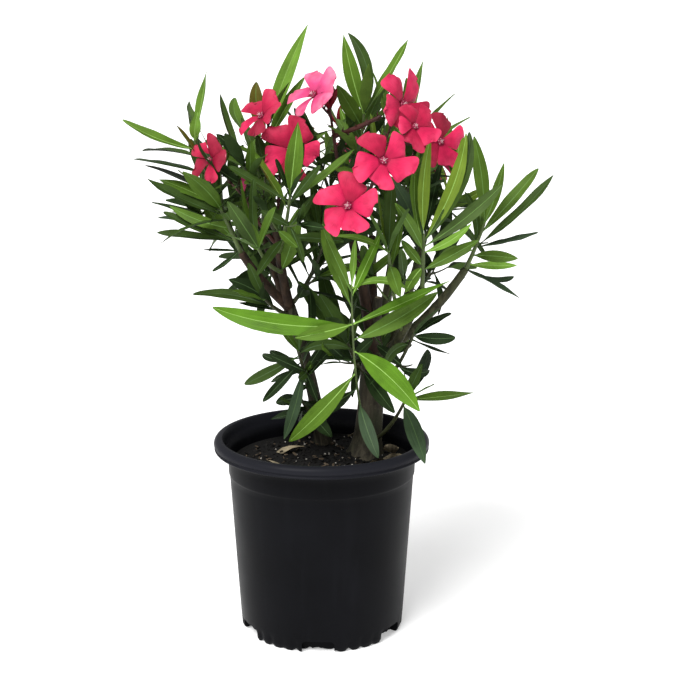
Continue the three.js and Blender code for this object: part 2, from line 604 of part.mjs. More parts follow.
// A flower: five petals in a shallow bowl round the throat, each with its broader side on
// the same hand, on a corolla tube.
function flowerSolid(middle, out, size, stalkFrom) {
  const radius = FLOWER_RADIUS * size;
  const first = around(out, 0);
  const second = new THREE.Vector3().crossVectors(out, first);
  const positions = [
    middle.clone().addScaledVector(out, -THROAT_DEPTH),
    middle.clone().addScaledVector(out, -FLOWER_BACK),
  ];
  for (let i = 0; i < PETALS; i++) {
    for (const [turn, share] of PETAL_OUTLINE) {
      const angle = radians((360 / PETALS) * i + turn);
      const point = middle.clone().addScaledVector(first, radius * share * Math.cos(angle));
      point.addScaledVector(second, radius * share * Math.sin(angle));
      positions.push(point.addScaledVector(out, FLOWER_CUP * share));
    }
  }
  const rim = PETALS * PETAL_OUTLINE.length;
  const faces = [];
  for (let i = 0; i < rim; i++) {
    const a = 2 + i;
    const b = 2 + ((i + 1) % rim);
    faces.push([0, a, b], [1, b, a]);
  }
  const neck = middle.clone().addScaledVector(out, -(THROAT_DEPTH + FLOWER_BACK) / 2);
  const stalk = new THREE.LineCurve3(stalkFrom, neck);
  return [toSolid(positions, faces), tube(stalk, TWIG_SIDES, 1, (t) => mix(...FLOWER_STALK, t))];
}

// A closed bud with its neck sunk in the truss.
function budSolid(middle, out) {
  const foot = middle.clone().addScaledVector(out, -BUD.neck);
  const tip = foot.clone().addScaledVector(out, BUD.length);
  const curve = new THREE.LineCurve3(foot, tip);
  return tube(curve, TWIG_SIDES, 2, (t) => BUD.ends + BUD.swell * Math.sin(Math.PI * t));
}

// Every piece so far, with its box, for the search for what comes too close. Leaves of one
// mass only meet at their roots, so the search takes each leaf without its root.
const placed = [];
const boxOf = (solid) => {
  const { min, max } = solid.boundingBox();
  return new THREE.Box3(new THREE.Vector3(...min), new THREE.Vector3(...max));
};
const place = (owner, whole, free = whole) => placed.push({ owner, whole, free, box: boxOf(whole) });

function inDome({ root, out, length, marked }) {
  if (marked) return true;
  const tip = root.clone().addScaledVector(out, length);
  const side = (tip.x - DOME.x) / DOME.halfWidth;
  const back = Math.max(tip.y, 0) / DOME.halfDepth;
  return tip.z < DOME.top - DOME.sideDrop * side * side - DOME.backDrop * back * back;
}

function isClear(leaf, owner) {
  if (!inDome(leaf)) return false;
  const whole = leafSolid(leaf);
  const free = leafSolid(leaf, FREE_LEAF);
  const box = boxOf(whole).expandByScalar(LEAF_CLEAR);
  return placed.every(
    (other) =>
      !other.box.intersectsBox(box) ||
      (other.owner === owner
        ? other.free.minGap(free, LEAF_CLEAR)
        : other.whole.minGap(whole, LEAF_CLEAR)) >= LEAF_CLEAR,
  );
}

const pot = potSolid();
const soil = soilSolid();
place("pot", pot);
place("soil", soil);
for (const [name, solid] of solids) place(name, solid);

const masses = [];
const clearOfWood = (solid) => {
  for (const wood of clearances.values()) solid = solid.subtract(wood);
  return mainBody(solid);
};

for (const truss of TRUSSES) {
  const start = curves.get(truss.limb).getPoint(truss.at);
  const curve = sweep(start, new THREE.Vector3(...truss.to), truss.bow);
  const name = "blossom_" + truss.name;
  const stem = clearOfWood(stemOf(curve, TRUSS_RADII, TRUSS_SIDES));
  const pieces = [stem];
  for (const [middle, bearing, rise, size] of truss.flowers) {
    const branch = curve.getPoint(FLOWERS_FROM);
    pieces.push(...flowerSolid(new THREE.Vector3(...middle), heading(bearing, rise), size, branch));
  }
  for (let i = 0; i < truss.buds; i++) {
    const axis = curve.getTangent(1);
    const out = axis.clone().addScaledVector(around(axis, BUD.turn * i), BUD.spread).normalize();
    pieces.push(budSolid(curve.getPoint(1).addScaledVector(out, BUD.reach), out));
  }
  masses.push({ name, pieces, leaves: [], material: BLOSSOM });
  for (const piece of pieces) place(name, piece);
}

const TONES = { young: YOUNG_GREEN, mature: LEAF_GREEN, old: OLD_GREEN };
for (const shoot of SHOOTS) {
  const name = "foliage_" + shoot.name;
  const { twigs, leaves } = grow(shoot);
  const stems = twigs.map(({ curve, radii }) => stemOf(curve, radii, TWIG_SIDES));
  const pieces = [clearOfWood(stems[0]), ...stems.slice(1)];
  masses.push({ name, pieces, leaves, material: TONES[shoot.tone] });
  for (const piece of pieces) place(name, piece);
}

for (const mass of masses) {
  for (const leaf of mass.leaves) {
    const fitted = TURNS.map((turn) => turnedLeaf(leaf, turn)).find((l) => isClear(l, mass.name));
    if (!fitted) continue;
    mass.pieces.push(leafSolid(fitted));
    place(mass.name, leafSolid(fitted), leafSolid(fitted, FREE_LEAF));
  }
}

const plant = new THREE.Group();
plant.name = "potted_oleander";
plant.add(toMesh("pot", pot, BLACK_PLASTIC));
plant.add(toMesh("soil", soil, BARK_MIX));
for (const limb of LIMBS) {
  plant.add(toMesh(limb.name, solids.get(limb.name), BARK));
}
for (const mass of masses) {
  const body = mainBody(wasm.Manifold.union(mass.pieces)).simplify(SMALLEST_EDGE);
  plant.add(toMesh(mass.name, body, mass.material));
}

export default plant;
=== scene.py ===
"""Looks of the potted oleander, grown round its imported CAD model.

The limbs, shoots and trusses grow by the rules of the part's source, and go on from there to finer
twigs, whole leaves and open flowers. Their tables began as the source's and were fitted further to
the photograph, so some rows differ from it. Tables are in millimetres, meshes in metres.
"""
import functools
import json
import math
from dataclasses import dataclass, replace

import bpy
import numpy as np
from bpy.props import FloatProperty, FloatVectorProperty, IntProperty, PointerProperty
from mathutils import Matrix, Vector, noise
from mathutils.bvhtree import BVHTree

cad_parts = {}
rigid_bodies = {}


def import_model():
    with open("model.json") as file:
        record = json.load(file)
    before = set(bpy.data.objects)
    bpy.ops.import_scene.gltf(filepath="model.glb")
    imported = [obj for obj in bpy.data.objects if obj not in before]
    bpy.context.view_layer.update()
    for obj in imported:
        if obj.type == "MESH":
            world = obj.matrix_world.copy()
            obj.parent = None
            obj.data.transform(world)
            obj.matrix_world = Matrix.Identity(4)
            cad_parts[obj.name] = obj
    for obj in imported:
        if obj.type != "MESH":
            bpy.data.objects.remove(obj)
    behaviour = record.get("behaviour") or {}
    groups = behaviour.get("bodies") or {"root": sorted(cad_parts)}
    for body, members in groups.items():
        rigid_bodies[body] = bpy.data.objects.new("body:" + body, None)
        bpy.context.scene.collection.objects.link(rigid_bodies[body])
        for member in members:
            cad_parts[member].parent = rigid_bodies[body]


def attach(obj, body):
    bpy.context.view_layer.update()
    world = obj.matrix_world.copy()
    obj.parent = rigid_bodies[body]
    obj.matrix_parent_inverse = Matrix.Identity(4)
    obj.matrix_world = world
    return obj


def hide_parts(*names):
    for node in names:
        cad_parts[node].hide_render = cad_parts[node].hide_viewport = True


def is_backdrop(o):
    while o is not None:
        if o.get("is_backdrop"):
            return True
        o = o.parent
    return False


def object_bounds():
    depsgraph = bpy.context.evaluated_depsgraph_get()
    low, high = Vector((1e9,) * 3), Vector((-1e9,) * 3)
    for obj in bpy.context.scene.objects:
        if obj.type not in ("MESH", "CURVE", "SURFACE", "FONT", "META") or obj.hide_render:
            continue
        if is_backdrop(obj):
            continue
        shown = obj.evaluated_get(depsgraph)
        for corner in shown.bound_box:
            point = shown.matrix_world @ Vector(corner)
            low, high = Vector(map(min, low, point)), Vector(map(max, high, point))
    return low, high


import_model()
CAD_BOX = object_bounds()

bl_info = {
    "name": "Potted oleander",
    "version": (1, 0, 0),
    "blender": (4, 5, 0),
    "location": "View3D > Sidebar > Oleander",
    "description": "Grows a flowering oleander in a nursery pot round its CAD model",
    "category": "Object",
}

BODY = "root"
MM = 0.001

# Pot and soil, as in the part's source.
POT_HEIGHT = 217 * MM
RIM_RADIUS = 118 * MM
LIP_BOTTOM = POT_HEIGHT - 13 * MM
SHOULDER_RADIUS = 102 * MM
FOOT_RADIUS = 88 * MM
WALL = 2 * MM
BAND_BOTTOM = POT_HEIGHT - 41 * MM
BASE_THICKNESS = 4 * MM
RING_TOP = 15.5 * MM
RING_RADIUS = 77 * MM
WALL_FOOT = 23.5 * MM
SOIL_TOP = 190 * MM
SEAT_CLEAR = 0.4 * MM

# The lift of the base, the turn of the notches and finer forms, which the looks have on their own.
BASE_LIFT = 4.5 * MM
NOTCH_TURN = math.radians(-3.0)
NOTCH_CORNER_STEPS = 6
NOTCH_OVERSHOOT = 20 * MM
HUB_RADIUS = 10 * MM
STRAIGHT_TOP = 170 * MM
POT_SHARP = 38
SURFACE_REACH = 84 * MM
SURFACE_EDGES = (88 * MM, 92 * MM)
SURFACE_SINK = 0.8 * MM
LUMP_SIDES = 6

# Woody limbs, as in the source apart from a thinner bough_right. Each starts at a fraction of its
# parent's length, or at a foot on the soil.
LIMBS = (
    dict(name="trunk", foot=(49, 24), to=(58, 30, 303), bow=0.02, radii=(16, 12.5), flare=9),
    dict(name="left_stem", foot=(2, 62), to=(-36, 15, 362), bow=-0.06, radii=(7.5, 6.5), flare=4),
    dict(name="bough_centre", parent="trunk", at=0.97, to=(23, 10, 469), bow=-0.05, radii=(7.5, 4)),
    dict(name="bough_right", parent="trunk", at=0.93, to=(157, 20, 399), bow=0.1, radii=(5.8, 4.4)),
    dict(name="bough_right_inner", parent="trunk", at=0.99, to=(80, 45, 419), bow=0.05,
         radii=(7, 4.5)),
    dict(name="bough_front_right", parent="trunk", at=0.8, to=(105, -55, 393), bow=0.1,
         radii=(6, 3.8)),
    dict(name="bough_back", parent="trunk", at=0.9, to=(59, 140, 416), bow=0.1, radii=(7, 4.2)),
    dict(name="bough_back_right", parent="trunk", at=0.72, to=(118, 115, 420), bow=0.1,
         radii=(6, 4)),
    dict(name="pruned_stub", parent="trunk", at=0.98, to=(62, 20, 367), bow=0, radii=(5.5, 4.8)),
    dict(name="bough_left_outer", parent="left_stem", at=0.97, to=(-86, 5, 420), bow=0.08,
         radii=(5.5, 4)),
    dict(name="bough_left_upper", parent="left_stem", at=0.99, to=(-48, -20, 449), bow=0.04,
         radii=(5.5, 3.8)),
    dict(name="bough_left_back", parent="left_stem", at=0.85, to=(-67, 110, 433), bow=0.1,
         radii=(5.5, 3.8)),
)

# Leafy shoots. leaf is length and width, spray the tones of the whorled leaves, and thick a share
# of the usual thickness. Marked leaves are placed one by one, nearly all where one can be told
# apart in the photograph: along the stem, bearing, rise, length, width and curl, each with a letter
# of paints that names its tone. The last one of front_mid only gives the crown its depth.
# Darker letters, given to leaves inside and under the crown, stand partly for painted shade.
SHOOTS = (
    dict(name="left_tip", limb="bough_left_outer", at=0.99, to=(-132, -10, 543), bow=0.03, whorls=2,
         leaf=(90, 13), phase=40, tone="mature", seed=3, paints="FDFLZKFDGGDGDGSSDKK",
         marked=((0.9, 201, 10, 87, 10, -44), (0.84, 135, 5, 112, 6), (0.98, 81, 45, 113, 9, 5),
         (0.97, 267, 51, 39, 12, -21), (0.8, 226, 51, 51, 5), (0.47, 143, 25, 112, 6, 10),
         (0.42, 145, 19, 96, 11), (0.34, 165, 15, 107, 9, -24), (0.36, 240, 50, 73, 19, 21),
         (0.22, 190, 11, 71, 12, -35), (0.1, 187, 18, 85, 10, -21), (0.12, 157, 39, 56, 15, -15),
         (0.5, 60, 30, 84, 6), (0.9, 105, 30, 113, 6, -7), (0.7, 148, 7, 114, 2, -7),
         (0.12, 145, 15, 116, 7, 7), (0.1, 153, 1, 115, 7, -11), (0.02, 171, -5, 44, 3, -18),
         (0.02, 173, -47, 43, 5, -27)), spray="GDGGYF"),
    dict(name="left_behind", limb="bough_left_outer", at=0.5, to=(-112, 66, 468), bow=0.1, whorls=4,
         leaf=(92, 15), phase=80, tone="old", seed=5, spray="GGDGEG"),
    dict(name="left_mid", limb="bough_left_upper", at=0.97, to=(-84, -24, 531), bow=0.06, whorls=4,
         leaf=(88, 14), phase=10, tone="old", seed=7, paints="KDKG",
         marked=((0.78, 218, 61, 51, 11, 25), (0.95, 145, 53, 74, 8, -24),
         (0.55, 211, 16, 85, 10, -84), (0.66, 273, 50, 52, 10)), spray="DGDG"),
    dict(name="centre_left", limb="bough_left_upper", at=0.7, to=(-31, -80, 492), bow=0.12,
         whorls=2, leaf=(68, 11), phase=25, tone="mature", seed=11, spray="GDKD", paints="FGFDD",
         marked=((0.97, 313, 81, 77, 18), (0.9, 8, 32, 90, 6, 22), (0.8, 127, 47, 103, 9),
         (0.9, 160, 28, 80, 7, -7), (0.88, 334, 50, 52, 9, 7))),
    dict(name="top_left", limb="bough_left_back", at=0.98, to=(-57, 45, 551), bow=0.1, whorls=5,
         leaf=(92, 14), phase=0, tone="young", seed=13, paints="LZG",
         marked=((0.97, 0, 74, 120, 17, -10), (0.9, 205, 58, 62, 16, -46),
         (0.84, 142, 14, 112, 4, -55))),
    dict(name="centre_top", limb="bough_centre", at=0.9, to=(46, 28, 566), bow=0.04, whorls=4,
         leaf=(86, 14), phase=70, tone="young", seed=17, paints="FDFGD",
         marked=((0.98, 190, 70, 87, 17, -13), (0.96, 16, 68, 98, 11, 66),
         (0.97, 35, 50, 112, 8, 10), (0.86, 227, 52, 59, 17), (0.75, 199, 62, 42, 11, -10))),
    dict(name="centre_upper", limb="bough_centre", at=0.72, to=(-4, 58, 524), bow=0.1, whorls=4,
         leaf=(90, 14), phase=55, tone="old", seed=19),
    dict(name="front", limb="trunk", at=0.22, to=(31, -76, 399), bow=0.24, whorls=0, leaf=(70, 14),
         phase=0, tone="young", seed=23, paints="BFBGLGLGBBFSKKG",
         marked=((0.82, 193, -4, 151, 22, -39), (0.82, 201, -12, 62, 15, -16),
         (0.82, 360, 23, 112, 11, 14), (0.74, 354, 23, 103, 19, 25), (0.985, 352, 35, 67, 8, -68),
         (0.97, 204, 62, 63, 12, -7), (0.99, 67, 74, 52, 7, 4), (0.97, 48, 23, 112, 9, 7),
         (0.95, 339, 66, 79, 11), (0.68, 310, -11, 113, 25, -16), (0.55, 174, -52, 115, 20, -14),
         (0.33, 282, -38, 68, 15, 13), (0.62, 135, -1, 64, 6, 9), (0.45, 142, -42, 104, 20, -47),
         (0.9, 148, 61, 94, 15, -12)), thick=0.6),
    dict(name="inner_front", limb="trunk", at=0.74, to=(28, -18, 326), bow=0.14, whorls=2,
         leaf=(84, 17), phase=15, tone="old", seed=27, paints="DDK",
         marked=((0.92, 125, 43, 114, 18, -19), (0.88, 165, 52, 92, 17), (0.86, 128, 39, 93, 15))),
    dict(name="right_front", limb="bough_front_right", at=0.99, to=(105, -62, 450), bow=0.02,
         whorls=0, leaf=(80, 14), phase=30, tone="young", seed=29, paints="YYKESGFLGFDG",
         marked=((0.96, 180, 84, 102, 11, -20), (0.86, 10, 54, 123, 15, 31), (0.9, 72, 46, 115, 12),
         (0.76, 10, 30, 112, 15, 21), (0.86, 162, 67, 76, 16, 9), (0.68, 247, 44, 80, 10),
         (0.4, 207, -38, 33, 12, 18), (0.66, 350, 18, 60, 9, 42), (0.34, 360, 26, 67, 13, 13),
         (0.8, 188, 70, 103, 10, -38), (0.86, 1, 45, 132, 12, 54), (0.4, 188, 53, 36, 10))),
    dict(name="right_outer", limb="bough_right", at=0.99, to=(176, 18, 450), bow=0.03, whorls=0,
         leaf=(84, 14), phase=95, tone="mature", seed=31, paints="GGGDSGDGGLSS",
         marked=((0.96, 130, 90, 95, 16, 15), (0.92, 325, 64, 73, 11, 16),
         (0.76, 12, 44, 99, 14, 11), (0.5, 355, 34, 118, 8, 28), (0.48, 357, 7, 73, 5, 23),
         (0.3, 327, 6, 53, 13), (0.45, 22, 72, 65, 9, 55), (0.6, 80, 30, 88, 15),
         (0.4, 229, 13, 73, 15, 27), (0.1, 357, -2, 56, 9, 12), (0.02, 349, -29, 69, 4, 11),
         (0.02, 3, -40, 68, 3, 66))),
    dict(name="right_top", limb="bough_right_inner", at=0.99, to=(97, 58, 548), bow=0.04, whorls=5,
         leaf=(84, 14), phase=15, tone="mature", seed=37, paints="F",
         marked=((0.98, 77, 55, 96, 11, -7),)),
    dict(name="right_inner", limb="bough_right_inner", at=0.85, to=(92, 4, 490), bow=0.12, whorls=4,
         leaf=(86, 15), phase=60, tone="old", seed=41),
    dict(name="right_low", limb="trunk", at=0.6, to=(98, -34, 340), bow=0.12, whorls=2,
         leaf=(58, 13), phase=20, tone="old", seed=43, paints="KKKDK",
         marked=((0.96, 326, -5, 47, 13, 33), (0.94, 48, 21, 73, 9, -8),
         (0.55, 358, -37, 42, 12, 61), (0.85, 213, 6, 50, 12, 69), (0.92, 354, -28, 49, 4, 23))),
    dict(name="foot_right", limb="trunk", at=0.12, to=(90, -34, 268), bow=0.14, whorls=1,
         leaf=(60, 13), phase=75, tone="old", seed=47, paints="SFS",
         marked=((0.9, 282, -14, 99, 18, -4), (0.97, 27, -3, 102, 11, 10),
         (0.96, 60, 21, 112, 10, 19))),
    dict(name="left_low", limb="left_stem", at=0.42, to=(-24, -16, 316), bow=0.1, whorls=2,
         leaf=(62, 12), phase=50, tone="old", seed=53, paints="SDKDKK",
         marked=((0.6, 239, -72, 83, 13, -14), (0.9, 163, -32, 83, 13, -12),
         (0.76, 182, -46, 65, 10, -5), (0.94, 0, 37, 59, 11, -61), (0.85, 149, -19, 67, 6, -38),
         (0.05, 190, -21, 22, 6))),
    dict(name="left_dark", limb="left_stem", at=0.9, to=(-60, -14, 372), bow=0.1, whorls=1,
         leaf=(64, 13), phase=35, tone="old", seed=59, paints="KDK",
         marked=((0.6, 210, 50, 64, 17, 30), (0.6, 162, 21, 96, 13, 25), (0.45, 176, 14, 46, 5))),
    dict(name="left_foot", limb="left_stem", at=0.18, to=(-24, 40, 250), bow=0.12, whorls=2,
         leaf=(58, 15), phase=5, tone="old", seed=61, marked=((0.95, 170, -4, 30, 13, 13),),
         paints="K"),
    dict(name="inner_centre", limb="left_stem", at=0.97, to=(2, 8, 426), bow=0.1, whorls=5,
         leaf=(92, 16), phase=85, tone="old", seed=67, marked=((0.95, 179, 80, 77, 9, -5),
         (0.95, 22, 75, 64, 8, 11), (0.9, 178, 64, 55, 8, -14)), paints="DKD"),
    dict(name="front_left", limb="bough_left_upper", at=0.45, to=(-64, -76, 438), bow=0.14,
         whorls=1, leaf=(84, 15), phase=45, tone="mature", seed=71, spray="DGEG",
         marked=((0.92, 239, 41, 37, 15, -50), (0.05, 305, 56, 79, 19, 25),
         (0.98, 195, 63, 73, 8, -30), (0.98, 185, 75, 72, 8, -26), (0.1, 9, 30, 50, 6, 13)),
         paints="GGGDD"),
    dict(name="front_mid", limb="bough_front_right", at=0.55, to=(68, -82, 436), bow=0.12, whorls=2,
         leaf=(86, 14), phase=65, tone="mature", seed=73, spray="KDGD",
         marked=((0.9, 359, 83, 69, 9, 20), (0.98, 177, 71, 67, 5, -22), (0.98, 174, 37, 61, 7, 39),
         (0.8, 17, 72, 67, 8, 17), (0.85, 272, -2, 86, 14, 4)), paints="DYLGG"),
    dict(name="back_left", limb="bough_left_back", at=0.8, to=(-112, 124, 455), bow=0.12, whorls=4,
         leaf=(95, 15), phase=30, tone="mature", seed=81, side=1, spray="GDGGEF"),
    dict(name="back_left_low", limb="bough_left_back", at=0.45, to=(-70, 128, 396), bow=0.14,
         whorls=4, leaf=(72, 15), phase=70, tone="old", seed=83),
    dict(name="back_centre", limb="bough_back", at=0.98, to=(34, 152, 516), bow=0.08, whorls=4,
         leaf=(92, 15), phase=10, tone="young", seed=89, side=1),
    dict(name="back_top", limb="bough_back", at=0.72, to=(70, 108, 560), bow=0.06, whorls=5,
         leaf=(90, 14), phase=50, tone="mature", seed=97),
    dict(name="back_right", limb="bough_back_right", at=0.98, to=(150, 120, 478), bow=0.1, whorls=4,
         leaf=(94, 15), phase=90, tone="mature", seed=101, side=1),
    dict(name="back_right_low", limb="bough_back_right", at=0.5, to=(140, 130, 408), bow=0.12,
         whorls=4, leaf=(76, 15), phase=20, tone="old", seed=103),
    dict(name="back_low", limb="trunk", at=0.66, to=(52, 112, 324), bow=0.12, whorls=3,
         leaf=(84, 16), phase=60, tone="old", seed=107),
)

# Flower trusses. Each flower: its middle, the bearing and rise it faces, its share of a full
# flower, the turn of its petals and the letters of their tones. C and D give a petal the rose
# tint darkened as painted shade, C in half shade and D in deep shade.
TRUSSES = (
    dict(name="centre", limb="bough_centre", at=0.99, to=(9, -4, 572), bow=-0.02, buds=4,
         flowers=(((-9, -10, 588), 222, 40, 1.08, 18, "PPPPP"),)),
    dict(name="right", limb="bough_centre", at=0.87, to=(66, -30, 545), bow=0.16, buds=0,
         flowers=(((85, -46, 580), 319, 13, 1.16, -56, "RRRCC"),
         ((95, -74, 561), 303, 24, 0.84, 5, "CRCRC"),
         ((124, -30, 541), 295, 4, 0.96, -15, "DCCRR"))),
    dict(name="front", limb="bough_centre", at=0.8, to=(46, -62, 492), bow=0.14, buds=0,
         flowers=(((62, -105, 530), 280, 14, 1.04, 20, "CRRRR"),
         ((26, -118, 487), 253, 20, 1.05, -16, "CRRRR"))),
    dict(name="left", limb="bough_left_upper", at=0.9, to=(-42, -6, 528), bow=0.02, buds=1,
         flowers=(((-63, -16, 567), 214, 39, 1.0, -13, "CCRDC"),
         ((-31, -34, 533), 257, 6, 1.06, -37, "CCRDR"))),
    dict(name="far_left", limb="bough_left_upper", at=0.8, to=(-80, -40, 488), bow=0.1, buds=1,
         flowers=(((-116, -28, 522), 229, 8, 0.85, -24, "DCDCD"),)),
    dict(name="back", limb="bough_back", at=0.86, to=(20, 176, 540), bow=0.06, buds=3,
         flowers=(((-30, 184, 512), 130, 25, 1, 5, "RCRRC"),
         ((44, 196, 505), 80, 15, 1, 40, "CRCCR"))),
    dict(name="back_right", limb="bough_back_right", at=0.88, to=(118, 146, 488), bow=0.08, buds=2,
         flowers=(((104, 170, 508), 100, 25, 1, 15, "RRCRC"),
         ((140, 168, 498), 60, 10, 0.95, -30, "PPRPP"))),
)

# The bare stem that reaches from the centre truss to the flowers on its right.
SIDE_STEM = dict(truss="centre", at=0.72, to=(62, -22, 566), bow=0.05, radii=(2.6 * MM, 2.0 * MM))

# The dome that the tips of the whorled leaves stay under.
DOME = dict(top=628 * MM, x=30 * MM, half_width=235 * MM, side_drop=150 * MM,
            half_depth=240 * MM, back_drop=90 * MM)

# How limbs, twigs, leaves and flowers grow, as in the part's source.
ROOTED = 6 * MM
FLARE_FALL = 11
FLARE_RIPPLE = 0.35
COLLAR = 1.2 * MM
COLLAR_FALL = 20
BOW_DROP = 0.6
TWIG_RADII = (2.6 * MM, 1.5 * MM)
TRUSS_RADII = (2.3 * MM, 1.3 * MM)
SIDE_TWIG = dict(at=0.5, apart=0.18, turn=140, share=0.5, forward=0.75, outward=0.66,
                 thinner=0.7, smaller=0.85, whorls=2, bow=0.1)
BARE_STEM = 0.3
YOUNG_FROM = 0.9
YOUNG_SHARE = 0.78
LEAVES_A_WHORL = 3
WHORL_TURN = 60
SPREAD_LOW = 66
SPREAD_TOP = 26
MOST_DROOP = 0.5
FREE_LEAF = 0.22
TURNS = (0, 10, -10, 20, -20, 32, -32)
FLOWER_RADIUS = 31 * MM
FLOWER_CUP = 4 * MM
THROAT_DEPTH = 3 * MM
FLOWERS_FROM = 0.93
PETALS = 5
BUD = dict(length=25 * MM, neck=9 * MM, ends=0.9 * MM, swell=2.6 * MM, turn=100, spread=0.55,
           reach=8 * MM)

# What the looks add to that: finer twigs, tufts of small leaves on tips, bracts, flower stalks
# and petals of their own size, and how little a marked leaf may be turned.
FINE_TWIG = dict(first=0.36, apart=0.19, turn=137, share=0.34, forward=0.8, outward=0.6,
                 thinner=0.5, smaller=0.66, whorls=2, bow=0.1)
TUFT = dict(leaves=3, spread=11, size=0.52, droop=0.08)
BRACT = dict(length=7 * MM, radius=1.0 * MM, apart=5.5 * MM)
FLOWER_NECK = 5.5 * MM
FLOWER_STALK = (1.0 * MM, 1.5 * MM)
OPEN_RADIUS = 29 * MM
MARKED_TURNS = (0, 4, -4)
TRUNK_SIDES = 56
BOUGH_SIDES = 28

# Numbers that keep the seeds of the random draws apart.
FINE_DICE = 5000
FALLEN_DICE = 900
FLOWER_DICE = 700
LEAF_DICE = 1e6

# Where the camera stands, how far down and right it looks in degrees, and its lens.
CAMERA_PLACE = (0.0, -1.600, 0.697)
CAMERA_PITCH = 13.1
CAMERA_YAW = 0.70
CAMERA_LENS = 80.64
SENSOR = 36.0
PICTURE = 679

# Places, most of them sky or bare wood in the photograph, that only marked leaves may cross:
# middle and radius in its pixels.
OPENINGS = (
    (203, 262, 9), (222, 268, 9), (240, 268, 6), (198, 288, 7), (222, 318, 5), (281, 343, 6),
    (285, 388, 8), (270, 402, 6), (328, 377, 12), (372, 298, 10), (361, 337, 4), (413, 273, 7),
    (440, 272, 7), (430, 305, 6), (458, 303, 9), (452, 318, 8), (410, 360, 10), (432, 372, 9),
    (180, 253, 7), (200, 251, 6), (212, 257, 5), (433, 100, 9), (487, 157, 4), (492, 178, 6),
    (508, 180, 5), (318, 125, 5), (321, 256, 7), (300, 395, 7), (395, 385, 8), (390, 300, 6),
    (379, 327, 4), (280, 118, 4), (266, 137, 4), (345, 395, 6), (278, 275, 5), (354, 55, 4),
    (358, 66, 4), (316, 112, 5), (375, 105, 5), (466, 188, 5), (496, 195, 6), (461, 257, 6),
    (298, 265, 5), (230, 104, 4), (173, 221, 5), (160, 250, 4), (161, 239, 3), (424, 333, 3),
    (418, 312, 5), (271, 341, 3), (406, 318, 4),
)

# Which tones the leaves of a shoot are dealt, from its foot to its tip: darker ones lower down,
# partly as painted shade inside the crown, and lighter ones towards the tip.
SPRAYS = {"young": "DGGFYF", "mature": "KDGGYF", "old": "KKDSDG"}
# Which leaf piece holds each tone.
LEAF_PIECES = {
    "young": ("bright", "light", "fresh", "spring"),
    "mature": ("green", "low", "bronze"),
    "old": ("deep", "dark", "slate"),
}
TONE_LETTERS = dict(B="bright", L="light", F="fresh", Y="spring", G="green", E="low",
                    Z="bronze", D="deep", K="dark", S="slate")
# C and D deal a petal the rose tint in painted half shade and in painted deep shade.
FLOWER_TONES = dict(R="rose", C="cerise", P="pink", D="crimson")

# Settings that a user would change


def size_of(name, description, default):
    return FloatProperty(name=name, description=description, default=default, min=0.0,
                         precision=4, unit="LENGTH")


def turn_of(name, description, degrees):
    return FloatProperty(name=name, description=description, default=math.radians(degrees),
                         unit="ROTATION")


def share_of(name, description, default):
    return FloatProperty(name=name, description=description, default=default, min=0.0)


def count_of(name, description, default):
    return IntProperty(name=name, description=description, default=default, min=0)


def tint_of(name, description, default):
    return FloatVectorProperty(name=name, description=description, default=default, size=3,
                               min=0.0, max=1.0, subtype="COLOR")


class PotSettings(bpy.types.PropertyGroup):
    """The nursery pot."""

    sides: count_of("Sides", "Sides of the turned wall", 288)
    flutes: count_of("Flutes", "Upright flutes round the foot", 38)
    flute_depth: size_of("Flute depth", "How deep each flute is pressed in", 1.3 * MM)
    flute_top: size_of("Flute top", "Height at which the flutes run out", 16 * MM)
    flute_lift: size_of("Flute lift", "How far the foot's edge lifts in a flute", 3.0 * MM)
    notches: count_of("Notches", "Drain notches round the foot", 6)
    notch_width: size_of("Notch width", "Width of a drain notch", 35 * MM)
    notch_height: size_of("Notch height", "Height of a drain notch", 13.5 * MM)
    notch_corner: size_of("Notch corner", "Radius of a notch's upper corners", 5 * MM)
    notch_depth: size_of("Notch depth", "How far a notch reaches into the foot", 9 * MM)
    plastic: tint_of("Plastic", "Black of the pot", (0.0030, 0.0031, 0.0040))


class SoilSettings(bpy.types.PropertyGroup):
    """The bark mix in the pot."""

    relief: size_of("Relief", "How uneven the surface is", 2.6 * MM)
    chips: share_of("Chips", "Bark chips to a square metre", 19000.0)
    grains: share_of("Grains", "Pale grains to a square metre", 2600.0)
    chip_size: size_of("Chip size", "Length of a large bark chip", 8 * MM)
    grain_size: size_of("Grain size", "Width of a large pale grain", 3.4 * MM)
    mix: tint_of("Mix", "Dark brown of the damp mix", (0.0022, 0.0018, 0.0014))
    bark: tint_of("Bark", "Brown of the lighter chips", (0.085, 0.062, 0.040))
    grain: tint_of("Grain", "White of the pale grains", (0.48, 0.45, 0.40))
    dead: tint_of("Dead leaf", "Tan of the fallen leaves", (0.24, 0.20, 0.13))


class WoodSettings(bpy.types.PropertyGroup):
    """Stems, boughs and twigs."""

    ridge: size_of("Ridge", "Height of the ridges along the bark", 0.55 * MM)
    scar: size_of("Scar", "Height of a leaf scar", 0.5 * MM)
    scar_gap: size_of("Scar gap", "Distance between rings of leaf scars", 15 * MM)
    trunk: tint_of("Trunk", "Grey brown of the two stems", (0.046, 0.040, 0.026))
    bough: tint_of("Bough", "Dark brown of the other boughs", (0.032, 0.017, 0.010))
    green_bough: tint_of("Green bough", "Green brown of the right boughs", (0.046, 0.046, 0.020))
    cut: tint_of("Cut", "Pale wood of the pruned stub", (0.28, 0.22, 0.14))
    twig: tint_of("Twig", "Green of the leafy shoots", (0.070, 0.105, 0.028))
    old_twig: tint_of("Old twig", "Brown green of the inner shoots", (0.045, 0.05, 0.02))


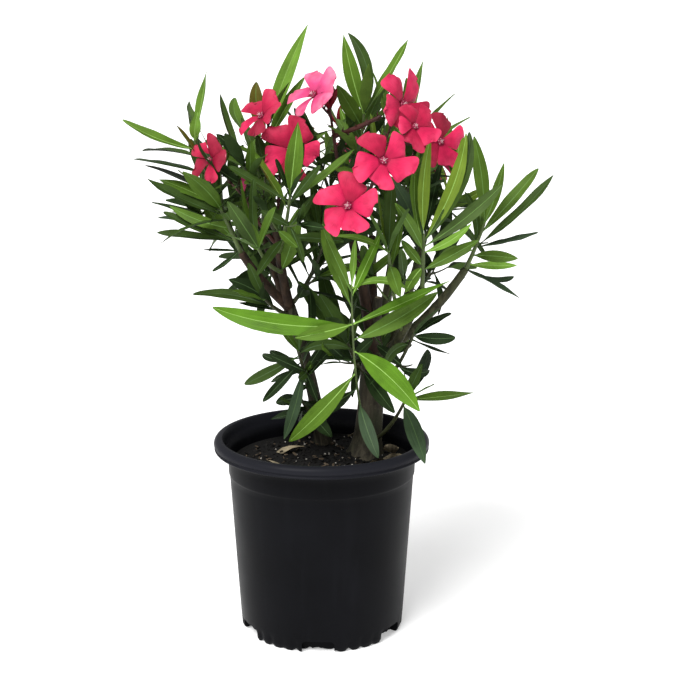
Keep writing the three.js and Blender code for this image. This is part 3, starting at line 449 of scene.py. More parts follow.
class LeafSettings(bpy.types.PropertyGroup):
    """Shape and tones of the leaves."""

    fine_twigs: count_of("Fine twigs", "Finer twigs on each shoot with two whorls or more", 2)
    fold: share_of("Fold", "How far the halves of a blade fold up", 0.28)
    # Besides each leaf's own age and tint, these tones were read off leaves in light and in shade:
    # bright and light stand partly for leaves in full light, and deep, dark and slate partly for
    # painted shade inside and under the crown.
    bright: tint_of("Bright", "Young leaves in full light", (0.078, 0.174, 0.012))
    light: tint_of("Light", "The palest new leaves", (0.150, 0.290, 0.038))
    fresh: tint_of("Fresh", "Fresh green leaves", (0.078, 0.152, 0.015))
    spring: tint_of("Spring", "Yellow green upright leaves", (0.124, 0.196, 0.020))
    green: tint_of("Green", "Full green leaves", (0.069, 0.130, 0.016))
    low: tint_of("Low", "Softer green of the low leaves", (0.056, 0.096, 0.024))
    bronze: tint_of("Bronze", "Leaves tinged with bronze", (0.10, 0.085, 0.013))
    deep: tint_of("Deep", "Deep green leaves", (0.035, 0.066, 0.012))
    dark: tint_of("Dark", "The darkest leaves", (0.014, 0.028, 0.008))
    slate: tint_of("Slate", "Blue green old leaves", (0.036, 0.062, 0.030))
    rib_young: tint_of("Young rib", "Midrib of the young leaves", (0.27, 0.46, 0.10))
    rib_mature: tint_of("Mature rib", "Midrib of the full grown leaves", (0.13, 0.25, 0.055))
    rib_old: tint_of("Old rib", "Midrib of the old leaves", (0.065, 0.12, 0.04))
    back_young: tint_of("Young back", "Underside of the young leaves", (0.10, 0.175, 0.030))
    back_mature: tint_of("Mature back", "Underside of the full grown leaves", (0.062, 0.112, 0.026))
    back_old: tint_of("Old back", "Underside of the old leaves", (0.030, 0.054, 0.017))


class BlossomSettings(bpy.types.PropertyGroup):
    """Flowers, buds and the stems of the trusses."""

    breadth: share_of("Breadth", "Half width of a petal, by the flower's radius", 0.70)
    ruffle: share_of("Ruffle", "Height of the waves in a petal, by the radius", 0.07)
    # The two darker petal tints after rose are copies of it, darkened as painted shade: half shade
    # and deep shade.
    rose: tint_of("Rose", "Petals in full light", (0.60, 0.013, 0.078))
    cerise: tint_of("Cerise", "The deeper pink petals", (0.43, 0.009, 0.050))
    crimson: tint_of("Crimson", "The darkest petals", (0.27, 0.006, 0.030))
    pink: tint_of("Pink", "Paler petals", (0.68, 0.060, 0.195))
    # The foot's tint is a darker copy of the rose, partly the petal's own deeper colour and partly
    # painted shade in the throat.
    petal_base: tint_of("Petal base", "Foot of a petal, by the throat", (0.40, 0.010, 0.055))
    petal_back: tint_of("Petal back", "Underside of the petals", (0.52, 0.05, 0.13))
    fringe: tint_of("Fringe", "Pale fringe of the throat", (0.95, 0.58, 0.62))
    bud: tint_of("Bud", "Dark red of the closed buds", (0.20, 0.006, 0.014))
    stem: tint_of("Stem", "Maroon of the truss stems", (0.050, 0.011, 0.008))


class StageSettings(bpy.types.PropertyGroup):
    """Floor, light and camera."""

    floor: size_of("Floor", "Radius of the pale floor", 160.0)
    sky: share_of("Sky", "Strength of the even light", 0.52)
    sun: share_of("Sun", "Strength of the soft main light", 3.5)
    sun_size: turn_of("Sun size", "How wide, and so how soft, the main light is", 34)
    camera: FloatVectorProperty(name="Camera", description="Where the camera stands",
                                default=CAMERA_PLACE, subtype="TRANSLATION",
                                unit="LENGTH")
    pitch: turn_of("Pitch", "How far down the camera looks", CAMERA_PITCH)
    yaw: turn_of("Yaw", "How far right the camera looks", CAMERA_YAW)
    lens: FloatProperty(name="Lens", description="Focal length in millimetres",
                        default=CAMERA_LENS)


# Vectors, curves and dice, by the rules of the part's source

UP = np.array((0.0, 0.0, 1.0))
FACING = np.array((0.0, -0.8, 0.6))


def mm(*values):
    return np.array(values, float) * MM


def unit(vector):
    return vector / np.linalg.norm(vector)


def mix(a, b, t):
    return a + (b - a) * t


def dice(seed):
    """A function that rolls numbers between 0 and 1, the same ones each time for one seed."""
    mask, step = 0xFFFFFFFF, 0x6D2B79F5
    state = seed & mask

    def roll():
        nonlocal state
        state = (state + step) & mask
        t = ((state ^ (state >> 15)) * (state | 1)) & mask
        t ^= (t + (((t ^ (t >> 7)) * (t | 61)) & mask)) & mask
        return (t ^ (t >> 14)) / (mask + 1)

    return roll


def heading(bearing, rise):
    level = math.cos(math.radians(rise))
    turn = math.radians(bearing)
    return np.array((level * math.cos(turn), level * math.sin(turn), math.sin(math.radians(rise))))


def around(axis, angle):
    """The direction across an axis at an angle, in degrees, counted from its upper side."""
    level = np.array((1.0, 0.0, 0.0)) if abs(axis[2]) > 0.99 else UP
    first = unit(level - axis * level.dot(axis))
    turn = math.radians(angle)
    return math.cos(turn) * first + math.sin(turn) * np.cross(axis, first)


def rotated(vector, axis, angle):
    """A vector turned about an axis by an angle in degrees."""
    turn = math.radians(angle)
    along = axis * axis.dot(vector)
    return along + (vector - along) * math.cos(turn) + np.cross(axis, vector) * math.sin(turn)


class Curve:
    """A quadratic curve in space."""

    def __init__(self, start, middle, end):
        self.start, self.middle, self.end = start, middle, end

    def point(self, t):
        t = np.asarray(t, float)[..., None]
        return (1 - t) ** 2 * self.start + 2 * (1 - t) * t * self.middle + t**2 * self.end

    def tangent(self, t):
        t = np.asarray(t, float)[..., None]
        along = (1 - t) * (self.middle - self.start) + t * (self.end - self.middle)
        return along / np.linalg.norm(along, axis=-1, keepdims=True)

    def length(self):
        points = self.point(np.linspace(0, 1, 201))
        return np.linalg.norm(np.diff(points, axis=0), axis=1).sum()


def straight(start, end):
    return Curve(start, (start + end) / 2, end)


def sweep(start, end, bow):
    """A curve whose middle swings out and down by bow times its length."""
    along = end - start
    level = np.array((along[0], along[1], 0.0))
    if np.linalg.norm(level) < 1 * MM:
        level = np.array((1.0, 0.0, 0.0))
    normal = unit(unit(level) - BOW_DROP * UP)
    return Curve(start, (start + end) / 2 + normal * bow * np.linalg.norm(along), end)


# Meshes from rings of points


def circle_angles(sides):
    """Angles spaced evenly round a circle."""
    return np.linspace(0, 2 * math.pi, sides, endpoint=False)


def tube_rings(curve, shares, sides, radius_at):
    """Rings round a curve. radius_at gives the radii by the share of length and the angles."""
    angles = circle_angles(sides)
    side = np.cross(curve.tangent(0), (0.3, 1.0, 0.2))
    rings = []
    for t in shares:
        tangent = curve.tangent(t)
        side = unit(side - tangent * side.dot(tangent))
        other = np.cross(tangent, side)
        radius = np.broadcast_to(radius_at(t, angles), angles.shape)[:, None]
        ring = np.cos(angles)[:, None] * side + np.sin(angles)[:, None] * other
        rings.append(curve.point(t) + radius * ring)
    return np.array(rings)


class Batch:
    """Many small closed shapes, gathered into one mesh."""

    def __init__(self):
        self.points, self.loops, self.sizes = [], [], []
        self.kinds, self.edges, self.uvs = [], [], []
        self.count = 0

    def skin(self, rings, kinds=0, edges=(), uv=None, under=None):
        """Joins rings of points in turn and closes both ends on a pole. kinds gives each face
        its material, edges names the spokes along which the mesh has a sharp edge. The faces
        from the spoke named by under are a lower side, and split along the other diagonal, so
        that it stays clear of the upper side of a thin shape."""
        steps, sides = rings.shape[0] - 1, rings.shape[1]
        under = sides if under is None else under
        spokes = np.arange(sides)
        following = (spokes + 1) % sides
        near = np.arange(steps)[:, None] * sides
        quads = np.stack([near + spokes, near + following, near + following + sides,
                          near + spokes + sides], -1)
        quads[:, under:] = np.roll(quads[:, under:], 1, -1)
        quads = quads.reshape(-1, 4)
        first = (steps + 1) * sides
        foot = np.stack([np.full(sides, first), following, spokes], -1)
        top = np.stack([np.full(sides, first + 1), spokes + steps * sides,
                        following + steps * sides], -1)
        kinds = np.broadcast_to(kinds, (steps, sides))
        self.points.append(np.vstack([rings.reshape(-1, 3), rings[0].mean(0), rings[-1].mean(0)]))
        self.loops += [part.ravel() + self.count for part in (quads, foot, top)]
        self.sizes += [np.full(len(quads), 4), np.full(2 * sides, 3)]
        self.kinds += [kinds.ravel(), kinds[0], kinds[-1]]
        marked = np.zeros((steps + 1, sides), bool)
        marked[:, list(edges)] = True
        self.edges.append(np.append(marked.ravel(), [bool(len(edges))] * 2))
        if uv is None:
            uv = np.zeros((steps + 1, sides, 2))
        self.uvs.append(np.vstack([uv.reshape(-1, 2), uv[0].mean(0), uv[-1].mean(0)]))
        self.count += first + 2

    def build(self, name, materials):
        """The object made of everything gathered."""
        points, loops = np.concatenate(self.points), np.concatenate(self.loops)
        sizes = np.concatenate(self.sizes)
        mesh = bpy.data.meshes.new(name)
        mesh.vertices.add(len(points))
        mesh.vertices.foreach_set("co", points.astype(np.float32).ravel())
        mesh.loops.add(len(loops))
        mesh.loops.foreach_set("vertex_index", loops.astype(np.int32))
        mesh.polygons.add(len(sizes))
        starts = np.cumsum(sizes) - sizes
        mesh.polygons.foreach_set("loop_start", starts.astype(np.int32))
        mesh.polygons.foreach_set("material_index", np.concatenate(self.kinds).astype(np.int32))
        mesh.update(calc_edges=True)
        mesh.shade_smooth()
        uv = np.concatenate(self.uvs)[loops]
        mesh.uv_layers.new(name="shape").data.foreach_set("uv", uv.astype(np.float32).ravel())
        ends = np.empty(len(mesh.edges) * 2, np.int32)
        mesh.edges.foreach_get("vertices", ends)
        sharp = np.concatenate(self.edges)[ends.reshape(-1, 2)].all(1)
        mesh.edges.foreach_set("use_edge_sharp", sharp)
        for material in materials:
            mesh.materials.append(material)
        return add_object(name, mesh)


def add_object(name, mesh):
    obj = bpy.data.objects.new(name, mesh)
    bpy.context.scene.collection.objects.link(obj)
    return obj


def hand_over(obj, slot, replaced=()):
    """Attaches a finished piece to the body and hides the CAD parts that it replaces."""
    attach(obj, BODY)
    if replaced:
        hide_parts(*replaced)


# Materials


def feed(tree, socket, value):
    """Links a socket to the output of a node, or sets it to a plain value."""
    if isinstance(value, bpy.types.NodeSocket):
        tree.links.new(value, socket)
    else:
        socket.default_value = value


def add_node(tree, kind, inputs, settings):
    made = tree.nodes.new(kind)
    for setting, value in settings.items():
        setattr(made, setting, value)
    for socket, value in inputs.items():
        feed(tree, made.inputs[socket], value)
    return made


class Paint:
    """A material with its shader, to which pattern nodes are added in few words."""

    def __init__(self, name, roughness=0.5, specular=0.5):
        self.material = bpy.data.materials.new(name)
        self.material.use_nodes = True
        self.tree = self.material.node_tree
        self.shader = self.tree.nodes["Principled BSDF"]
        self.set("Roughness", roughness)
        self.set("Specular IOR Level", specular)
        places = self.tree.nodes.new("ShaderNodeTexCoord")
        self.place, self.uv = places.outputs["Object"], places.outputs["UV"]

    def set(self, socket, value):
        feed(self.tree, self.shader.inputs[socket], value)

    def node(self, kind, inputs, **settings):
        return add_node(self.tree, "ShaderNode" + kind, inputs, settings)

    def part(self, vector, axis):
        """The part of a vector along an axis."""
        return self.node("SeparateXYZ", {"Vector": vector}).outputs[axis]

    def stretched(self, scale, source=None):
        """Coordinates stretched by a scale along each axis."""
        source = source or self.place
        return self.node("Mapping", {"Vector": source, "Scale": scale}).outputs["Vector"]

    def noise(self, scale, detail=3, source=None, distortion=0.0):
        inputs = {"Vector": source or self.place, "Scale": scale, "Detail": detail,
                  "Distortion": distortion}
        return self.node("TexNoise", inputs).outputs["Fac"]

    def ramp(self, share, *stops):
        """A value or colour for each place of share, given as pairs of place and colour."""
        made = self.node("ValToRGB", {"Fac": share})
        elements = made.color_ramp.elements
        while len(elements) < len(stops):
            elements.new(0.5)
        for element, (place, colour) in zip(elements, stops):
            element.position = place
            element.color = (*np.broadcast_to(colour, 3), 1)
        return made.outputs["Color"]

    def shades(self, share, colour, *stops):
        """A ramp through shades of one colour, given as pairs of place and factor."""
        return self.ramp(share, *((place, shade(colour, factor)) for place, factor in stops))

    def blend(self, share, first, second):
        """A pattern mixed with a plain colour by a share, a number or a pattern."""
        inputs = {"Fac": share, "Color1": first, "Color2": (*second, 1.0)}
        return self.node("MixRGB", inputs).outputs["Color"]

    def relief(self, height, strength, distance):
        inputs = {"Height": height, "Strength": strength, "Distance": distance}
        self.set("Normal", self.node("Bump", inputs).outputs["Normal"])

    def sum(self, first, second, operation="ADD"):
        return self.node("Math", {0: first, 1: second}, operation=operation).outputs["Value"]


def shade(colour, factor):
    return tuple(min(part * factor, 1.0) for part in colour)


def plastic_paint(colour):
    """Black moulded plastic: satin, with faint dust and fine scuffs, and a painted highlight that
    makes the rim lighter than the wall.
    """
    paint = Paint("pot_plastic", specular=0.05)
    cloud = paint.noise(14, 4)
    scuffs = paint.noise(60, 6, paint.stretched((1, 1, 0.12)))
    worn = paint.ramp(scuffs, (0.55, 0.0), (0.8, 1.0))
    tone = paint.shades(cloud, colour, (0.3, 0.8), (0.75, 1.5))
    scuffed = paint.blend(paint.sum(worn, 0.25, "MULTIPLY"), tone, shade(colour, 3.2))
    # Painted highlight: from just below the lip upwards, the black is lightened as if lit from above.
    height = paint.part(paint.place, "Z")
    rim = paint.ramp(height, (LIP_BOTTOM - 2 * MM, 0.0), (LIP_BOTTOM + 1 * MM, 0.8))
    paint.set("Base Color", paint.blend(rim, scuffed, shade(colour, 5.0)))
    paint.set("Roughness", paint.ramp(cloud, (0.3, 0.36), (0.7, 0.50)))
    paint.relief(paint.noise(900, 2), 0.12, 0.2 * MM)
    return paint.material


def soil_paint(colour):
    """Damp bark mix, nearly black, with browner crumbs."""
    paint = Paint("soil_mix", 0.85, 0.25)
    crumbs = paint.noise(420, 5)
    paint.set("Base Color", paint.shades(crumbs, colour, (0.35, 0.5), (0.55, 1), (0.75, 3)))
    paint.relief(crumbs, 0.9, 1.5 * MM)
    return paint.material


def chip_paint(name, colour):
    """Torn bark, with grain along and across."""
    paint = Paint(name, 0.8, 0.25)
    grain = paint.noise(300, 4, paint.stretched((1, 0.3, 2)))
    paint.set("Base Color", paint.shades(grain, colour, (0.3, 0.35), (0.6, 1), (0.8, 1.9)))
    paint.relief(grain, 0.7, 0.6 * MM)
    return paint.material


def grain_paint(colour):
    """Puffed white mineral grains, a little stained."""
    paint = Paint("pale_grain", 0.9, 0.3)
    pits = paint.noise(900, 3)
    paint.set("Base Color", paint.shades(pits, colour, (0.35, 0.35), (0.6, 1)))
    paint.relief(pits, 0.6, 0.4 * MM)
    return paint.material


def bark_paint(name, colour, rough=0.8):
    """Bark with long grain, grey flecks and darker furrows."""
    paint = Paint(name, rough, 0.3)
    grain = paint.noise(170, 6, paint.stretched((1, 1, 0.22)), 0.6)
    patch = paint.noise(38, 3)
    flecks = paint.ramp(paint.noise(520, 2), (0.62, 0.0), (0.70, 1.0))
    bark = paint.shades(grain, colour, (0.32, 0.35), (0.52, 1), (0.72, 1.7))
    mossy = paint.blend(paint.ramp(patch, (0.45, 0.0), (0.7, 0.45)), bark,
                        (colour[0] * 0.9, colour[1] * 1.25, colour[2] * 0.9))
    paint.set("Base Color", paint.blend(paint.sum(flecks, 0.3, "MULTIPLY"), mossy,
                                        shade(colour, 3.0)))
    paint.relief(grain, 0.75, 1.2 * MM)
    return paint.material


def cut_paint(colour):
    """The cut end of a pruned bough: pale wood with fine dark flecks."""
    paint = Paint("cut_wood", 0.8, 0.25)
    flecks = paint.noise(600, 3, paint.stretched((1, 1, 0.1)))
    paint.set("Base Color", paint.shades(flecks, colour, (0.3, 0.3), (0.6, 1)))
    paint.relief(flecks, 0.4, 0.4 * MM)
    return paint.material


def twig_paint(name, colour):
    """Smooth young bark with pale breathing dots."""
    paint = Paint(name, 0.55, 0.35)
    patch = paint.noise(60, 3)
    dots = paint.ramp(paint.noise(900, 1), (0.66, 0.0), (0.72, 1.0))
    bark = paint.shades(patch, colour, (0.3, 0.6), (0.7, 1.3))
    paint.set("Base Color", paint.blend(paint.sum(dots, 0.35, "MULTIPLY"), bark,
                                        shade(colour, 2.6)))
    paint.relief(paint.noise(420, 3), 0.3, 0.4 * MM)
    return paint.material


def leaf_paint(name, colour, gloss):
    """The upper face of a leaf, with soft patches, pale streaks and close side veins."""
    paint = Paint(name, specular=0.08)
    patch = paint.noise(48, 4)
    tone = paint.shades(patch, colour, (0.28, 0.72), (0.5, 1), (0.74, 1.22))
    u, v = (paint.part(paint.uv, axis) for axis in "XY")
    slant = paint.sum(paint.sum(paint.sum(u, 0.5, "SUBTRACT"), 0.0, "ABSOLUTE"), 0.22, "MULTIPLY")
    lines = paint.sum(paint.sum(v, slant, "SUBTRACT"), 260.0, "MULTIPLY")
    veins = paint.sum(lines, 0.0, "SINE")
    streaks = paint.noise(6, 2, paint.stretched((5, 0.4, 1), paint.uv))
    striped = paint.blend(paint.ramp(streaks, (0.48, 0.0), (0.66, 0.45)), tone,
                          shade(colour, 1.5))
    paint.set("Base Color", paint.blend(paint.ramp(veins, (0.6, 0.0), (1.0, 0.16)), striped,
                                        shade(colour, 1.5)))
    paint.set("Roughness", paint.ramp(patch, (0.3, gloss - 0.06), (0.7, gloss + 0.06)))
    paint.relief(veins, 0.18, 0.25 * MM)
    return paint.material


def leaf_back_paint(name, colour):
    """The underside of a leaf: matt and paler, with fine pits."""
    paint = Paint(name, 0.7, 0.04)
    patch = paint.noise(70, 4)
    paint.set("Base Color", paint.shades(patch, colour, (0.3, 0.75), (0.7, 1.15)))
    paint.relief(paint.noise(1400, 2), 0.2, 0.2 * MM)
    return paint.material


def rib_paint(name, colour):
    """A pale midrib and leaf stalk."""
    paint = Paint(name, 0.5, 0.2)
    paint.set("Base Color", paint.shades(paint.noise(160, 2), colour, (0.3, 0.8), (0.7, 1.1)))
    return paint.material


def dead_leaf_paint(colour):
    """A dry fallen leaf, tan with brown stains."""
    paint = Paint("dead_leaf", 0.85, 0.2)
    stains = paint.noise(110, 5)
    paint.set("Base Color", paint.shades(stains, colour, (0.3, 0.35), (0.5, 1), (0.75, 1.6)))
    paint.relief(stains, 0.5, 0.8 * MM)
    return paint.material


def petal_paint(name, colour, roughness=0.55):
    """Silky petals with fine streaks from throat to rim. Their heart is deeper and their rim paler,
    each partly their own colour and partly painted light: shade at the foot, a highlight towards the
    rim.
    """
    paint = Paint(name, roughness, 0.15)
    streaks = paint.noise(5, 3, paint.stretched((6, 0.9, 1), paint.uv))
    patch = paint.noise(75, 2)
    silk = paint.shades(patch, colour, (0.32, 0.8), (0.5, 1), (0.68, 1.15))
    along = paint.part(paint.uv, "Y")
    # Painted shade in part: the petal darkens towards its foot, where it sinks into the throat and
    # the petals overlap.
    heart = paint.blend(paint.ramp(along, (0.10, 0.6), (0.5, 0.0)), silk, shade(colour, 0.55))
    # Painted highlight in part: the petal pales towards its rim.
    rim = paint.sum(paint.ramp(along, (0.4, 0.0), (1.0, 0.8)),
                    paint.ramp(patch, (0.35, 0.2), (0.65, 1.0)), "MULTIPLY")
    paler = (colour[0] * 1.25, colour[1] * 5, colour[2] * 2.0)
    veined = paint.blend(paint.ramp(streaks, (0.48, 0.0), (0.7, 0.45)), heart,
                         shade(colour, 0.55))
    paint.set("Base Color", paint.blend(rim, veined, paler))
    paint.relief(streaks, 0.35, 0.6 * MM)
    return paint.material


def floor_paint():
    """A pale matt studio floor that stays light in the soft shadow."""
    paint = Paint("pale_floor", 0.9, 0.1)
    paint.set("Base Color", paint.ramp(paint.noise(3, 4), (0.3, 0.90), (0.7, 0.94)))
    paint.set("Emission Color", (1.0, 1.0, 1.0, 1.0))
    paint.set("Emission Strength", 0.35)
    return paint.material


# Pot


def wall_radius(z):
    return mix(FOOT_RADIUS + 1.6 * MM, SHOULDER_RADIUS - 1 * MM, z / BAND_BOTTOM)


def arc(x, z, radius, first, last, steps):
    """Points of a round stretch of an outline, between two angles in degrees."""
    angles = np.radians(np.linspace(first, last, steps + 1))
    return np.stack([x + radius * np.cos(angles), z + radius * np.sin(angles)], -1)


def line(start, end, steps):
    return np.linspace(start, end, steps + 1)


def pot_profile():
    """The outline of the wall as pairs of radius and height, from the middle of the base out,
    up the outside, over the rolled rim and down the inside."""
    shoulder = SHOULDER_RADIUS
    bead = LIP_BOTTOM + 1.3 * MM
    roll = 6.5 * MM
    return np.vstack([
        line((HUB_RADIUS, BASE_LIFT), (RING_RADIUS + 1.5 * MM, BASE_LIFT), 4),
        line((RING_RADIUS + 2.5 * MM, 0.8 * MM), (FOOT_RADIUS - 4 * MM, 0), 2),
        arc(FOOT_RADIUS - 1.2 * MM, 1.8 * MM, 1.8 * MM, -90, 0, 4),
        line((wall_radius(4 * MM), 4 * MM), (wall_radius(28 * MM), 28 * MM), 10),
        line((wall_radius(40 * MM), 40 * MM), (wall_radius(STRAIGHT_TOP), STRAIGHT_TOP), 10),
        line((wall_radius(BAND_BOTTOM), BAND_BOTTOM), (shoulder, BAND_BOTTOM + 1.6 * MM), 2),
        line((shoulder + 0.2 * MM, BAND_BOTTOM + 3 * MM),
             (shoulder + 0.7 * MM, LIP_BOTTOM - 9 * MM), 4),
        line((shoulder + 1.6 * MM, LIP_BOTTOM - 6 * MM),
             (shoulder + 4 * MM, LIP_BOTTOM - 1 * MM), 2),
        line((shoulder + 6 * MM, LIP_BOTTOM - 0.4 * MM), (RIM_RADIUS - 2.6 * MM, LIP_BOTTOM), 2),
        arc(RIM_RADIUS - 1.8 * MM, bead, 1.3 * MM, -80, 75, 5),
        line((RIM_RADIUS - 1.6 * MM, bead + 2 * MM), (RIM_RADIUS - 1.0 * MM, bead + 3 * MM), 1),
        arc(RIM_RADIUS - roll, POT_HEIGHT - roll, roll, -12, 112, 10),
        line((RIM_RADIUS - 10.5 * MM, POT_HEIGHT - 3 * MM), (RIM_RADIUS - 13.6 * MM, LIP_BOTTOM), 3),
        line((shoulder - 0.6 * MM, LIP_BOTTOM - 3 * MM),
             (shoulder - WALL - 0.6 * MM, LIP_BOTTOM - 8 * MM), 2),
        line((wall_radius(STRAIGHT_TOP) - WALL, STRAIGHT_TOP),
             (wall_radius(WALL_FOOT) - WALL, WALL_FOOT), 4),
        np.array([(RING_RADIUS, RING_TOP), (RING_RADIUS, BASE_LIFT + BASE_THICKNESS)]),
        line((RING_RADIUS - 5 * MM, BASE_LIFT + BASE_THICKNESS),
             (HUB_RADIUS, BASE_LIFT + BASE_THICKNESS), 3),
    ])


def turned_rings(profile, sides):
    angles = circle_angles(sides)
    radius, height = profile[:, :1], profile[:, 1:]
    return np.stack([radius * np.cos(angles), radius * np.sin(angles),
                     height + 0 * angles], -1)


def fluted(rings, settings):
    """Presses upright flutes into the foot, and lifts its edge in each one."""
    angles = circle_angles(settings.sides)
    outside = np.hypot(rings[..., 0], rings[..., 1]) > RING_RADIUS + 2 * MM
    height = rings[..., 2]
    fade = np.clip((settings.flute_top - height) / (settings.flute_top * 0.4), 0, 1) * outside
    uneven = 0.7 + 0.3 * np.cos(11 * angles + 1)
    hollow = (0.5 - 0.5 * np.cos(settings.flutes * angles)) ** 2.5 * fade * uneven
    radius = np.maximum(np.hypot(rings[..., 0], rings[..., 1]), 1 * MM)
    rings[..., :2] *= (1 - settings.flute_depth * hollow / radius)[..., None]
    low = np.clip(1 - height / (6 * MM), 0, 1)
    rings[..., 2] += settings.flute_lift * hollow * low
    return rings


def socket_of(group, name):
    """The identifier of a group's input, which a modifier's setting goes by."""
    for item in group.interface.items_tree:
        if item.item_type == "SOCKET" and item.in_out == "INPUT" and item.name == name:
            return item.identifier
    raise RuntimeError("the node group " + group.name + " has no input named " + name)


class Recipe:
    """A geometry node group with named inputs, to which nodes are added in few words."""

    def __init__(self, name, **inputs):
        self.group = bpy.data.node_groups.new(name, "GeometryNodeTree")
        face = self.group.interface
        face.new_socket("Geometry", in_out="INPUT", socket_type="NodeSocketGeometry")
        for title, kind in inputs.items():
            face.new_socket(title, in_out="INPUT", socket_type="NodeSocket" + kind)
        face.new_socket("Geometry", in_out="OUTPUT", socket_type="NodeSocketGeometry")
        self.given = self.group.nodes.new("NodeGroupInput").outputs

    def node(self, kind, inputs, output=0, **settings):
        """One output of a new node."""
        return add_node(self.group, kind, inputs, settings).outputs[output]

    def maths(self, operation, first, second):
        return self.node("ShaderNodeMath", {0: first, 1: second}, operation=operation)

    def vector(self, **parts):
        """A vector, its parts given by X, Y and Z."""
        return self.node("ShaderNodeCombineXYZ", parts)

    def end(self, geometry):
        """Realizes the instances, sets their material and ends the group."""
        real = self.node("GeometryNodeRealizeInstances", {"Geometry": geometry})
        painted = self.node("GeometryNodeSetMaterial", {
            "Geometry": real, "Material": self.given["Material"]})
        out = self.group.nodes.new("NodeGroupOutput")
        self.group.links.new(painted, out.inputs["Geometry"])


def follow(recipe, obj, name, **values):
    """A plain mesh object made from obj by a recipe; obj is used up."""
    modifier = obj.modifiers.new(name, "NODES")
    modifier.node_group = recipe.group
    for title, value in values.items():
        modifier[socket_of(recipe.group, title)] = value
    seen = obj.evaluated_get(bpy.context.evaluated_depsgraph_get())
    mesh = bpy.data.meshes.new_from_object(seen)
    obj.modifiers.remove(modifier)
    bpy.data.objects.remove(obj)
    mesh.name = name
    return add_object(name, mesh)


def notch_recipe():
    """Cuts round-cornered notches, evenly spaced, into the foot of the pot."""
    recipe = Recipe("drain_notches", Count="Int", Width="Float", Height="Float", Corner="Float",
                    Depth="Float", Turn="Float", Material="Material")
    given = recipe.given
    outline = recipe.node("GeometryNodeCurvePrimitiveQuadrilateral", {
        "Width": given["Width"], "Height": recipe.maths("MULTIPLY", given["Height"], 2.0)})
    arch = recipe.node("GeometryNodeFilletCurve", {
        "Curve": outline, "Radius": given["Corner"], "Count": NOTCH_CORNER_STEPS,
        "Limit Radius": True}, mode="POLY")
    inner = recipe.maths("SUBTRACT", FOOT_RADIUS, given["Depth"])
    path = recipe.node("GeometryNodeCurvePrimitiveLine", {
        "Start": recipe.vector(Y=recipe.maths("MULTIPLY", inner, -1.0)),
        "End": (0.0, -FOOT_RADIUS - NOTCH_OVERSHOOT, 0.0)})
    cutter = recipe.node("GeometryNodeCurveToMesh", {
        "Curve": path, "Profile Curve": arch, "Fill Caps": True})
    spots = recipe.node("GeometryNodePoints", {"Count": given["Count"]})
    index = recipe.node("GeometryNodeInputIndex", {})
    step = recipe.maths("DIVIDE", 2 * math.pi, given["Count"])
    turn = recipe.maths("ADD", recipe.maths("MULTIPLY", index, step), given["Turn"])
    cutters = recipe.node("GeometryNodeInstanceOnPoints", {
        "Points": spots, "Instance": cutter, "Rotation": recipe.vector(Z=turn)})
    real = recipe.node("GeometryNodeRealizeInstances", {"Geometry": cutters})
    recipe.end(recipe.node("GeometryNodeMeshBoolean", {
        "Mesh 1": given["Geometry"], "Mesh 2": real}, operation="DIFFERENCE"))
    return recipe


def make_pot(settings):
    batch = Batch()
    batch.skin(fluted(turned_rings(pot_profile(), settings.sides), settings))
    wall = batch.build("turned_wall", [])
    pot = follow(notch_recipe(), wall, "pot_shell", Count=settings.notches,
                 Width=settings.notch_width, Height=settings.notch_height,
                 Corner=settings.notch_corner, Depth=settings.notch_depth, Turn=NOTCH_TURN,
                 Material=plastic_paint(settings.plastic))
    pot.data.shade_smooth()
    pot.data.set_sharp_from_angle(angle=math.radians(POT_SHARP))
    hand_over(pot, "pot", ["pot"])


# Soil, chips and fallen leaves


def unevenness(x, y, settings):
    """How far the soil stands above or below its level at a place."""
    level = noise.noise((x * 38, y * 38, 1.7)) + 0.5 * noise.noise((x * 110, y * 110, 5.2))
    return settings.relief * level


def soil_rings(settings, sides=96, rows=26):
    """The whole filling of the pot, closed, with an uneven top."""
    bottom = BASE_LIFT + BASE_THICKNESS + SEAT_CLEAR
    ring = RING_RADIUS - SEAT_CLEAR
    edge = SHOULDER_RADIUS - WALL - 1.8 * MM
    below = [(HUB_RADIUS, bottom), (ring, bottom), (ring, RING_TOP + SEAT_CLEAR),
             (wall_radius(WALL_FOOT) - WALL - SEAT_CLEAR, WALL_FOOT + SEAT_CLEAR)]
    outline = np.vstack([below, line((edge, SOIL_TOP), (3 * MM, SOIL_TOP), rows)])
    rings = turned_rings(outline, sides)
    for ring_points in rings[len(below) + 1:]:
        for point in ring_points:
            point[2] += unevenness(point[0], point[1], settings) - SURFACE_SINK
    return rings


def lump(name, lengths, seed, rough):
    """A small closed stone or chip, with lengths along its three axes, knocked out of round."""
    roll = dice(seed)
    shares = np.array((-0.8, -0.25, 0.4, 0.85))
    angles = circle_angles(LUMP_SIDES)
    rings = []
    for share in shares:
        radius = math.sqrt(1 - share**2) * np.array([1 + rough * (roll() - 0.5) for _ in angles])
        rings.append(np.stack([share + 0 * angles, radius * np.cos(angles),
                               radius * np.sin(angles)], -1))
    batch = Batch()
    batch.skin(np.array(rings) * np.array(lengths) / 2)
    made = batch.build(name, [])
    made.data.shade_flat()
    return made


